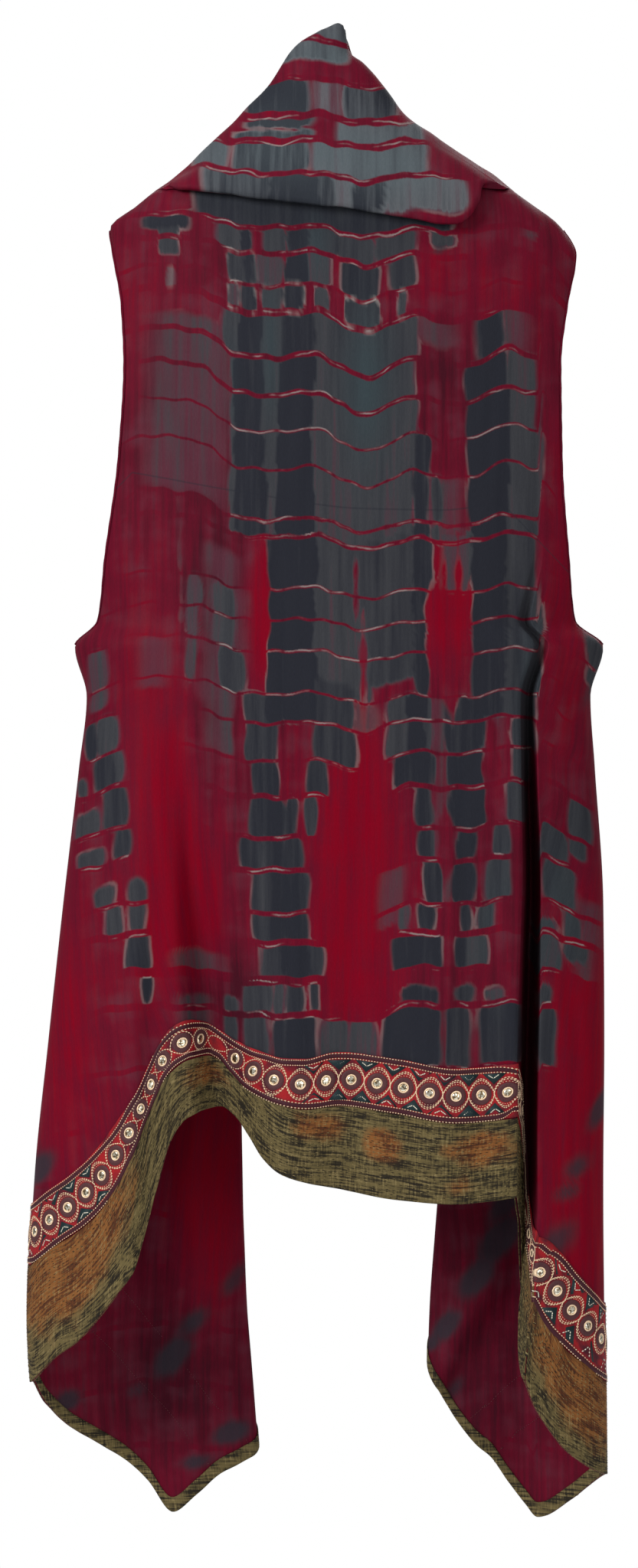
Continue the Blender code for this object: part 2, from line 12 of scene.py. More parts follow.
import bpy
import numpy as np
from bpy.props import FloatProperty, FloatVectorProperty, PointerProperty
from bpy.types import Operator, Panel, PropertyGroup
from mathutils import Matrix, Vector


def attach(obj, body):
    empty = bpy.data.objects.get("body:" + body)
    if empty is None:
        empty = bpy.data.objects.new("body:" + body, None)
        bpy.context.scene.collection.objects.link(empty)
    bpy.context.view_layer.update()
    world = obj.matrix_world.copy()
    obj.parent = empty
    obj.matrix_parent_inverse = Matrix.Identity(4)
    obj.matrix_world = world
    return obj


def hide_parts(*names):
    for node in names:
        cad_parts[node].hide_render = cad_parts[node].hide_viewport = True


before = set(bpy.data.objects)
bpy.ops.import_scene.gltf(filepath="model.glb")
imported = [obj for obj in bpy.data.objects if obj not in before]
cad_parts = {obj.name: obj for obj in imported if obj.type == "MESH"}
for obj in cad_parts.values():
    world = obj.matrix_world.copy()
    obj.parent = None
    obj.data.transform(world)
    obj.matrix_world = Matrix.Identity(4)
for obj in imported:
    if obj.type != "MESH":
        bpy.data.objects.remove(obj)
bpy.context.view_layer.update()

bl_info = {
    "name": "Draped silk vest",
    "version": (1, 0, 0),
    "blender": (4, 5, 0),
    "location": "View3D > Sidebar > Vest",
    "description": "Dyed silk, mirror trim and woven border of a draped vest",
    "category": "Add Mesh",
}

MILLIMETRE = 0.001

# The count c at both side seams and at the sheet's far end.
LEFT_SEAM = 3
RIGHT_SEAM = 4
SHEET_END = 7

# The cut and drape of the cloth, as the solids have them.
SEAM_GAP = 0.4
BAND_SEAM = 1.2
MOST_SLANT = 26.0
SECTION_POWER = 2.6
EDGE_CLUSTER = 1.3
FALL_SPLAY = 0.14
GROOVE_START = 0.70
GROOVE_END = 0.80
GROOVE_POWER = 1.8
TURNING_WIDTH = 10.0
TURNING_HEIGHT = 14.0
EDGE_CALM = 30.0
HEM_GUESS = -950.0

# Level sections: the height, the left and right side, the middle line, how far back and front bow out from
# it, half the armhole's opening, how blunt the ends are, both folded front edges, and the radius and width
# of the part that turns and falls back there.
Section = namedtuple(
    "Section", "height left right middle back front opening ends fold_left fold_right turn fall"
)
SECTIONS = (
    Section(194, -8, 7, 12, 6, 5, 0, 0.5, -5, 2, 1.4, 2),
    Section(188, -15, 8, 12, 7, 6, 0, 0.5, -9, 2, 1.6, 3),
    Section(179, -31, 9, 11, 10, 8, 0, 0.5, -19, 3, 2.2, 5),
    Section(165, -45, 13, 10, 14, 11, 0, 0.5, -27, 5, 3, 7),
    Section(156, -51, 25, 9, 18, 14, 0, 0.5, -30, 12, 3.5, 8),
    Section(136, -64, 43, 8, 24, 18, 0, 0.5, -36, 22, 4.5, 11),
    Section(108, -90, 64, 6, 33, 25, 0, 0.5, -46, 36, 6, 16),
    Section(79, -120, 104, 4, 43, 33, 0, 0.5, -56, 56, 7, 20),
    Section(50, -150, 147, 2, 52, 42, 0, 0.5, -64, 70, 8, 25),
    Section(36, -170, 165, 1, 56, 46, 0, 0.5, -66, 75, 8, 27),
    Section(22, -187, 184, 0, 58, 48, 0, 0.5, -68, 78, 8, 30),
    Section(1, -212, 210, 0, 60, 52, 0, 0.5, -72, 82, 9, 34),
    Section(-24, -208, 222, 0, 62, 55, 14, 0.62, -76, 85, 9, 38),
    Section(-72, -199, 213, 0, 66, 60, 28, 0.8, -82, 90, 9, 46),
    Section(-129, -196, 206, 0, 70, 64, 36, 0.85, -86, 94, 9, 54),
    Section(-215, -201, 207, 0, 73, 68, 40, 0.85, -90, 98, 9, 64),
    Section(-308, -214, 214, 0, 75, 71, 34, 0.8, -92, 100, 9, 74),
    Section(-367, -222, 221, 0, 76, 73, 18, 0.7, -93, 101, 9, 80),
    Section(-391, -245, 249, 0, 76, 74, 0, 0.5, -93, 101, 9, 82),
    Section(-437, -234, 237, 0, 77, 75, 0, 0.5, -94, 102, 9, 85),
    Section(-502, -241, 241, 0, 78, 76, 0, 0.5, -94, 102, 9, 88),
    Section(-631, -256, 249, 0, 80, 78, 0, 0.5, -94, 102, 9, 92),
    Section(-760, -270, 250, 0, 82, 80, 0, 0.5, -92, 101, 9, 92),
    Section(-889, -283, 249, 0, 84, 82, 0, 0.5, -90, 98, 9, 92),
    Section(-1018, -289, 250, 0, 85, 83, 0, 0.5, -86, 89, 9, 92),
    Section(-1097, -285, 251, 0, 85, 83, 0, 0.5, -79, 87, 9, 92),
    Section(-1214, -279, 252, 0, 85, 83, 0, 0.5, -70, 87, 9, 92),
)

# The deep fold: where its right lip stands as a share of the back, and its slot's width and depth.
Groove = namedtuple("Groove", "height lip slot depth")
GROOVE = (
    Groove(194, 0.94, 0.020, 0),
    Groove(-288, 0.950, 0.022, 0),
    Groove(-402, 0.891, 0.030, 14),
    Groove(-574, 0.883, 0.036, 40),
    Groove(-789, 0.880, 0.042, 48),
    Groove(-908, 0.882, 0.042, 48),
    Groove(-981, 0.876, 0.042, 48),
    Groove(-1069, 0.856, 0.042, 48),
    Groove(-1214, 0.850, 0.042, 48),
)

# Folds along slanting lines. A positive depth goes into the vest.
Fold = namedtuple("Fold", "top top_x bottom bottom_x depth left_width right_width fade")
BACK_FOLDS = (
    Fold(-420, -150, -840, -108, 36, 17, 36, 330),
    Fold(-500, -186, -1060, -196, -13, 30, 16, 260),
    Fold(-380, 176, -900, 160, -8, 26, 14, 200),
    Fold(-560, 18, -900, 6, 7, 26, 30, 240),
    Fold(-480, 96, -900, 104, -7, 34, 26, 240),
    Fold(-620, -48, -900, -44, -6, 20, 24, 200),
)
LEFT_FRONT_FOLDS = (
    Fold(-420, -176, -1150, -196, 9, 26, 26, 200),
    Fold(-300, -130, -1150, -140, -8, 24, 24, 200),
)
RIGHT_FRONT_FOLDS = (
    Fold(-860, 214, -1076, 96, -13, 20, 20, 90),
    Fold(-300, 150, -1150, 176, 8, 24, 24, 200),
)

# Heights of the mirror trim's top, the border's top and the hem.
Hem = namedtuple("Hem", "x trim border hem")
BACK_HEM = (
    Hem(-285, -912, -969, -1078),
    Hem(-262, -893, -949, -1052),
    Hem(-241, -877, -935, -1036),
    Hem(-219, -853, -915, -1011),
    Hem(-201, -828, -886, -987),
    Hem(-188, -808, -858, -969),
    Hem(-179, -788, -835, -939),
    Hem(-167, -764, -804, -895),
    Hem(-153, -744, -785, -847),
    Hem(-138, -737, -774, -827),
    Hem(-122, -740, -771, -820),
    Hem(-107, -748, -776, -818),
    Hem(-94, -755, -790, -826),
    Hem(-80, -762, -803, -845),
    Hem(-68, -766, -809, -864),
    Hem(-52, -771, -815, -878),
    Hem(-30, -772, -819, -886),
    Hem(0, -766, -816, -892),
    Hem(54, -772, -823, -902),
    Hem(110, -781, -832, -906),
    Hem(171, -777, -827, -900),
)
SIDE_HEM = (
    Hem(173, -932, -982, -1069),
    Hem(181, -936, -997, -1092),
    Hem(194, -941, -1017, -1114),
    Hem(209, -956, -1041, -1134),
    Hem(229, -981, -1058, -1151),
    Hem(252, -1007, -1080, -1165),
)
LEFT_FRONT_HEM = (
    Hem(-285, -912, -969, -1078),
    Hem(-274, -925, -984, -1101),
    Hem(-254, -941, -1014, -1124),
    Hem(-228, -968, -1043, -1142),
    Hem(-202, -1000, -1071, -1160),
    Hem(-179, -1027, -1098, -1181),
    Hem(-155, -1058, -1124, -1210),
    Hem(-135, -1083, -1147, -1195),
    Hem(-111, -1112, -1175, -1175),
    Hem(-95, -1132, -1175, -1167),
    Hem(-75, -1156, -1175, -1156),
)
RIGHT_FRONT_HEM = (
    Hem(87, -1080, -1150, -1076),
    Hem(95, -1096, -1154, -1092),
    Hem(115, -1125, -1156, -1125),
    Hem(133, -1114, -1156, -1147),
    Hem(146, -1104, -1158, -1158),
    Hem(163, -1089, -1144, -1182),
    Hem(180, -1075, -1131, -1203),
    Hem(191, -1066, -1122, -1214),
    Hem(221, -1032, -1101, -1195),
    Hem(235, -1017, -1091, -1182),
    Hem(252, -1007, -1080, -1165),
)
# How the hem climbs past each folded edge, to a millimetre and to a millimetre squared.
LEFT_CLIMB = (0.5, 0.028)
RIGHT_CLIMB = (1.6, 0.020)

# The foot of the collar's roll across the back, and how it hangs over and tucks in.
Cowl = namedtuple("Cowl", "x height")
COWL = (
    Cowl(-180, 36),
    Cowl(-174, 34),
    Cowl(-113, 27),
    Cowl(-49, 19),
    Cowl(9, 12),
    Cowl(50, 3),
    Cowl(81, -3),
    Cowl(108, 15),
    Cowl(130, 33),
    Cowl(151, 37),
    Cowl(180, 36),
)
COWL_OVERHANG = 13.0
COWL_ROLL = 4.0
COWL_START = 0.15
COWL_LAP = 1.55
COWL_TUCK = 2.5
TUCK_EDGE = 0.3
COWL_SIDE = 40.0
SWELL_TOP = 60.0
SWELL_REACH = 75.0

# The collar's rows down to its foot and round under its roll, its heights and the armholes' heights.
COLLAR_ROWS = 46
ROLL_ROWS = 8
ROLL_FIRST = 0.12
COLLAR_FOOT = 36.0
COLLAR_TOP = 188.0
COLLAR_PEAK = 194.0
ARMHOLE_TOP = 1.0
ARMHOLE_FOOT = -391.0

# Thickness of the cloth that shows, and how high each layer lies over the silk's middle.
SILK = 0.6
BAND = 0.7
BAND_LIFT = 1.3
TURNING_LIFT = -1.3

# The silk's rows, the turned edges' rows and heights, how much hem shows, and the rolled armhole edges.
SILK_ROWS = 210
TURNING_ROWS = 5
FRONT_TURNING_TOP = 20.0
FRONT_TURNING_ROWS = 220
ROLL_SIDES = 10
ROLL_STEPS = 150
ROLL_RADIUS = 1.35
ROLL_UNEVEN = 0.12
ROLL_REACH = 1.9
ROLL_END = 2.5
ROLL_STEP = 0.01

# The stage: sides of the round floor, the camera's sensor, and the world's light away from the camera.
FLOOR_SIDES = 64
SENSOR_HEIGHT = 36.0
WORLD_LIGHT = 0.47


def smooth_slopes(xs, ys):
    """Slopes of a curve through the rows that never overshoots them."""
    steps = np.diff(xs)
    rises = np.diff(ys) / steps
    slopes = np.zeros_like(ys)
    slopes[0], slopes[-1] = rises[0], rises[-1]
    same_way = rises[:-1] * rises[1:] > 0
    before = 2 * steps[1:] + steps[:-1]
    after = steps[1:] + 2 * steps[:-1]
    total = before / np.where(same_way, rises[:-1], 1) + after / np.where(same_way, rises[1:], 1)
    slopes[1:-1] = np.where(same_way, (before + after) / np.where(same_way, total, 1), 0)
    return slopes


def read_table(rows, key, field, at):
    """Read one column of a table smoothly at the given values of its key column: a cubic between rows."""
    ordered = sorted(rows, key=attrgetter(key))
    xs = np.array([getattr(row, key) for row in ordered], float)
    ys = np.array([getattr(row, field) for row in ordered], float)
    slopes = smooth_slopes(xs, ys)
    at = np.clip(at, xs[0], xs[-1])
    i = np.clip(np.searchsorted(xs, at, side="right") - 1, 0, len(xs) - 2)
    step = xs[i + 1] - xs[i]
    t = (at - xs[i]) / step
    start = (2 * t**3 - 3 * t**2 + 1) * ys[i] + (t**3 - 2 * t**2 + t) * step * slopes[i]
    end = (3 * t**2 - 2 * t**3) * ys[i + 1] + (t**3 - t**2) * step * slopes[i + 1]
    return start + end


def ease(t):
    """Go from 0 to 1 with no slope at either end: 3t squared less 2t cubed."""
    t = np.clip(t, 0, 1)
    return t * t * (3 - 2 * t)


def section_at(z):
    """Every measure of the level section at height z."""
    return Section(z, *[read_table(SECTIONS, "height", name, z) for name in Section._fields[1:]])


def fold_depth(folds, x, z):
    """How far the folds push the cloth in: a bell across each slanting line, growing along it."""
    depth = np.zeros(np.broadcast(x, z).shape)
    for fold in folds:
        along = np.clip((fold.top - z) / (fold.top - fold.bottom), 0, 1.2)
        away = x - (fold.top_x + (fold.bottom_x - fold.top_x) * along)
        width = np.where(away < 0, fold.left_width, fold.right_width)
        depth = depth + fold.depth * np.exp(-((away / width) ** 2)) * ease((fold.top - z) / fold.fade)
    return depth


def bow(x, section, depth):
    """Distance of the plain section from its middle line: a superellipse's upper half."""
    centre = (section.left + section.right) / 2
    half = (section.right - section.left) / 2
    across = np.clip(np.abs((x - centre) / half), 0, 1)
    swell = (1 - across**SECTION_POWER) ** section.ends
    return section.opening + SEAM_GAP / 2 + (depth - section.opening) * swell


def groove_share(c):
    """How far through the deep fold a column is: 0 at its left lip and 1 at its right one."""
    return (c - LEFT_SEAM - GROOVE_START) / (GROOVE_END - GROOVE_START)


def back_surface(c, z):
    """Points of the back: the section's rear half, less its folds and its deep fold."""
    section = section_at(z)
    lip = read_table(GROOVE, "height", "lip", z)
    slot = read_table(GROOVE, "height", "slot", z)
    part = c - LEFT_SEAM
    main = (lip - slot) * (np.clip(part / GROOVE_START, 0, 1)) ** EDGE_CLUSTER
    inside = np.clip(groove_share(c), 0, 1)
    side = np.clip((part - GROOVE_END) / (1 - GROOVE_END), 0, 1)
    side_share = (1 - np.cos(np.pi * side)) / 2
    share = main + slot * inside + (1 - lip) * side_share
    x = section.left + (section.right - section.left) * share
    y = section.middle - bow(x, section, section.back)
    edge_calm = ease((x - section.left) / EDGE_CALM) * ease((section.right - x) / EDGE_CALM)
    y = y + fold_depth(BACK_FOLDS, x, z) * edge_calm
    y = y + read_table(GROOVE, "height", "depth", z) * (1 - np.abs(2 * inside - 1) ** GROOVE_POWER)
    return np.stack([x, y, z + 0 * x], axis=-1)


def front_surface(side, c, z):
    """Points of one front, its round turn and its fall. side is -1 on the left and 1 on the right."""
    section = section_at(z)
    if side < 0:
        edge, fold, folds, count = section.left, section.fold_left, LEFT_FRONT_FOLDS, LEFT_SEAM - c
    else:
        edge, fold, folds, count = section.right, section.fold_right, RIGHT_FRONT_FOLDS, c - RIGHT_SEAM
    across = np.clip(count, 0, 1) ** EDGE_CLUSTER
    turned = np.pi * np.clip(count - 1, 0, 1)
    fallen = section.fall * np.clip(count - 2, 0, 1)
    x = edge + (fold + side * section.turn - edge) * across
    y = section.middle + bow(x, section, section.front)
    y = y + fold_depth(folds, x, z) * ease(np.abs(x - edge) / EDGE_CALM)
    x = x - side * section.turn * np.sin(turned) + side * fallen * np.cos(FALL_SPLAY)
    y = y + section.turn * (1 - np.cos(turned)) + fallen * np.sin(FALL_SPLAY)
    return np.stack([x, y, z + 0 * x], axis=-1)


def surface(c, z):
    """Points of the whole sheet at (c, z), whichever stretch each lies on."""
    c, z = np.broadcast_arrays(np.asarray(c, float), np.asarray(z, float))
    points = np.empty(c.shape + (3,))
    at_back = (c >= LEFT_SEAM) & (c <= RIGHT_SEAM)
    if at_back.any():
        points[at_back] = back_surface(c[at_back], z[at_back])
    for side, inside in ((-1, c < LEFT_SEAM), (1, c > RIGHT_SEAM)):
        if inside.any():
            points[inside] = front_surface(side, c[inside], z[inside])
    return points


def running(steps):
    """Running total of the steps, starting at 0."""
    return np.concatenate([[0], np.cumsum(steps)])


def unit(vectors):
    """The vectors at length 1."""
    return vectors / np.maximum(np.linalg.norm(vectors, axis=-1, keepdims=True), 1e-12)


# Creases too small for the solids. A positive depth goes into the vest.
Crease = namedtuple("Crease", "top top_x bottom bottom_x depth width")
BACK_CREASES = (
    Crease(-545, -191, -720, -199, 3.0, 5),
    Crease(-470, -128, -745, -96, -2.2, 9),
    Crease(-560, -84, -760, -74, 1.4, 6),
    Crease(-600, -30, -770, -24, 1.2, 5),
    Crease(-640, 2, -770, 4, -1.0, 6),
    Crease(-590, 40, -770, 44, 1.3, 5),
    Crease(-660, 66, -775, 70, -1.0, 6),
    Crease(-560, 96, -780, 92, 1.1, 5),
    Crease(-500, 126, -780, 128, -1.4, 7),
    Crease(-430, 150, -780, 148, 1.2, 5),
    Crease(-40, -60, -330, -72, -1.0, 12),
    Crease(-20, 104, -300, 96, 1.2, 12),
    Crease(0, -168, -250, -150, -1.6, 12),
    Crease(0, 170, -230, 158, -1.4, 12),
    Crease(-480, 218, -820, 226, 1.6, 9),
    Crease(-520, 238, -900, 240, -1.5, 8),
)
LEFT_CREASES = (
    Crease(-100, -168, -700, -190, 1.8, 10),
    Crease(-200, -150, -900, -158, -1.6, 9),
    Crease(-420, -216, -1000, -226, 1.6, 10),
    Crease(-500, -118, -1080, -128, -1.8, 9),
    Crease(-650, -178, -1140, -176, 1.5, 7),
    Crease(-760, -140, -1150, -150, -1.4, 7),
)
RIGHT_CREASES = (
    Crease(-90, 176, -700, 196, 1.8, 10),
    Crease(-240, 158, -900, 164, -1.5, 9),
    Crease(-430, 214, -1000, 222, 1.6, 10),
    Crease(-520, 130, -1060, 136, -1.7, 9),
    Crease(-700, 186, -1140, 190, 1.4, 7),
)


def crease_depth(creases, x, z):
    """Narrow uneven troughs and ridges: a bell across each line, swelling and fading along it."""
    depth = np.zeros(np.broadcast(x, z).shape)
    for number, crease in enumerate(creases):
        along = (crease.top - z) / (crease.top - crease.bottom)
        drift = 2.5 * np.sin(z / 37 + 1.7 * number) + 1.2 * np.sin(z / 13 + 2.9 * number)
        away = x - (crease.top_x + (crease.bottom_x - crease.top_x) * along) - drift
        uneven = 0.75 + 0.25 * np.sin(z / 29 + 2.3 * number)
        fade = ease(along / 0.25) * ease((1.15 - along) / 0.3)
        depth = depth + crease.depth * uneven * fade * np.exp(-((away / crease.width) ** 2))
    return depth


def crinkle(u, z):
    """The faint crush of washed silk: long waves across, slow drift along, from summed sines."""
    first = np.sin(u / 5.3 + 1.6 * np.sin(z / 61) + 0.7 * np.sin(z / 23))
    second = np.sin(u / 8.9 - 1.3 * np.sin(z / 83 + 1.1) + 2.1)
    third = np.sin(u / 3.1 + 2.2 * np.sin(z / 47 + 0.4))
    return 0.22 * first + 0.32 * second + 0.12 * third


def plan_lengths(c, z):
    """Arc length along each level from the first column, with z given on the grid."""
    points = surface(c, z)[..., :2]
    steps = np.linalg.norm(np.diff(points, axis=1), axis=-1)
    return np.concatenate([np.zeros((len(c), 1)), np.cumsum(steps, axis=1)], axis=1)


def grid_normals(points):
    """Outward directions on a grid whose rows go down and whose columns go round: across times up."""
    around = np.gradient(points, axis=1)
    up = -np.gradient(points, axis=0)
    return unit(np.cross(around, up))


def hem_heights(c, rounds=4):
    """Heights of the trim's top, the border's top and the hem at each column, found by stepping."""
    levels = []
    for field in Hem._fields[1:]:
        z = np.full(len(c), HEM_GUESS)
        for _ in range(rounds):
            z = hem_once(field, c, z)
        levels.append(z)
    return levels


def hem_once(field, c, z):
    """One step of finding a hem height, from each column's place at height z."""
    at_left, at_right = c < LEFT_SEAM, c > RIGHT_SEAM
    count = np.where(at_left, LEFT_SEAM - c, c - RIGHT_SEAM)
    on_front = np.minimum(count, 1)
    flat = np.where(at_left, LEFT_SEAM - on_front, np.where(at_right, RIGHT_SEAM + on_front, c))
    x = surface(flat, z)[..., 0]
    inside = groove_share(c)
    near, far = read_table(BACK_HEM, "x", field, x), read_table(SIDE_HEM, "x", field, x)
    last, first = getattr(BACK_HEM[-1], field), getattr(SIDE_HEM[0], field)
    middle = last + (first - last) * ease(inside)
    back = np.where(inside <= 0, near, np.where(inside >= 1, far, middle))
    left, right = read_table(LEFT_FRONT_HEM, "x", field, x), read_table(RIGHT_FRONT_HEM, "x", field, x)
    if field == "hem":
        section = section_at(z)
        past = section.turn * np.pi * np.clip(count - 1, 0, 1) + section.fall * np.clip(count - 2, 0, 1)
        left = left + LEFT_CLIMB[0] * past + LEFT_CLIMB[1] * past**2
        right = right + RIGHT_CLIMB[0] * past + RIGHT_CLIMB[1] * past**2
    return np.where(at_left, left, np.where(at_right, right, back))


SilkPanel = namedtuple("SilkPanel", "name first last creases")
PANELS = (
    SilkPanel("back", LEFT_SEAM, RIGHT_SEAM, BACK_CREASES),
    SilkPanel("left_front", 0, LEFT_SEAM, LEFT_CREASES),
    SilkPanel("right_front", RIGHT_SEAM, SHEET_END, RIGHT_CREASES),
)


def stepped(stops, counts):
    """Even steps from stop to stop, as many as counts gives for each stretch."""
    parts = [np.linspace(first, last, count + 1) for first, last, count in zip(stops, stops[1:], counts)]
    return np.concatenate([parts[0]] + [part[1:] for part in parts[1:]])


def back_columns(main, groove, side):
    """Columns of the back, closer together in its deep fold."""
    return LEFT_SEAM + stepped((0, GROOVE_START, GROOVE_END, 1), (main, groove, side))


def front_columns(left, fall, turn, front):
    """Columns of a front with its fall and turn."""
    columns = stepped((0, 1, 2, 3), (fall, turn, front))
    return columns if left else SHEET_END - columns[::-1]


def sheet_columns(front, back):
    """Columns of the whole sheet, each side seam once."""
    left, right = front_columns(True, *front), front_columns(False, *front)
    return np.concatenate([left, back_columns(*back)[1:-1], right])


def shell(name, points, normals, lift, wall, uv, attributes=None):
    """A closed thin sheet about a grid of points: two layers of quads and a rim, in metres at the end."""
    rows, count = points.shape[:2]
    size = rows * count
    layers = [points + normals * (lift + wall / 2), points + normals * (lift - wall / 2)]
    index = np.arange(size).reshape(rows, count)
    quads = np.stack([index[:-1, :-1], index[1:, :-1], index[1:, 1:], index[:-1, 1:]], -1).reshape(-1, 4)
    order = np.concatenate([index[0, :-1], index[:-1, -1], index[-1, :0:-1], index[:0:-1, 0]])
    following = np.roll(order, -1)
    rim = np.stack([order, following, following + size, order + size], 1)
    faces = np.concatenate([quads, quads[:, ::-1] + size, rim])
    flat_uv = np.concatenate([uv.reshape(-1, 2)] * 2)
    values = {key: np.concatenate([field.ravel()] * 2) for key, field in (attributes or {}).items()}
    return add_mesh(name, np.concatenate([layer.reshape(-1, 3) for layer in layers]), faces, flat_uv, values)


def add_mesh(name, points, faces, uv=None, values=None):
    """Put points in millimetres and faces of equal size into a smooth mesh object at the origin."""
    mesh = bpy.data.meshes.new(name)
    corners = faces.shape[1]
    mesh.vertices.add(len(points))
    mesh.vertices.foreach_set("co", (points * MILLIMETRE).astype(np.float32).ravel())
    mesh.loops.add(faces.size)
    mesh.loops.foreach_set("vertex_index", faces.astype(np.int32).ravel())
    mesh.polygons.add(len(faces))
    mesh.polygons.foreach_set("loop_start", np.arange(len(faces), dtype=np.int32) * corners)
    mesh.polygons.foreach_set("use_smooth", np.ones(len(faces), bool))
    mesh.update(calc_edges=True)
    if uv is not None:
        layer = mesh.uv_layers.new(name="cloth")
        layer.data.foreach_set("uv", (uv * MILLIMETRE)[faces.ravel()].astype(np.float32).ravel())
    for key, field in (values or {}).items():
        attribute = mesh.attributes.new(key, "FLOAT", "POINT")
        attribute.data.foreach_set("value", field.astype(np.float32))
    mesh.validate()
    obj = bpy.data.objects.new(name, mesh)
    bpy.context.scene.collection.objects.link(obj)
    return obj


def finish_piece(obj, material, slot, *nodes):
    """Give a piece its material, its body and the solids it stands for."""
    obj.data.materials.append(material)
    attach(obj, "root")
    if nodes:
        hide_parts(*nodes)
    return obj


def sheet_area(points):
    """Area of a grid of points, in square metres."""
    across, down = np.diff(points, axis=1)[:-1], np.diff(points, axis=0)[:, :-1]
    return np.linalg.norm(np.cross(across, down), axis=-1).sum() * MILLIMETRE**2
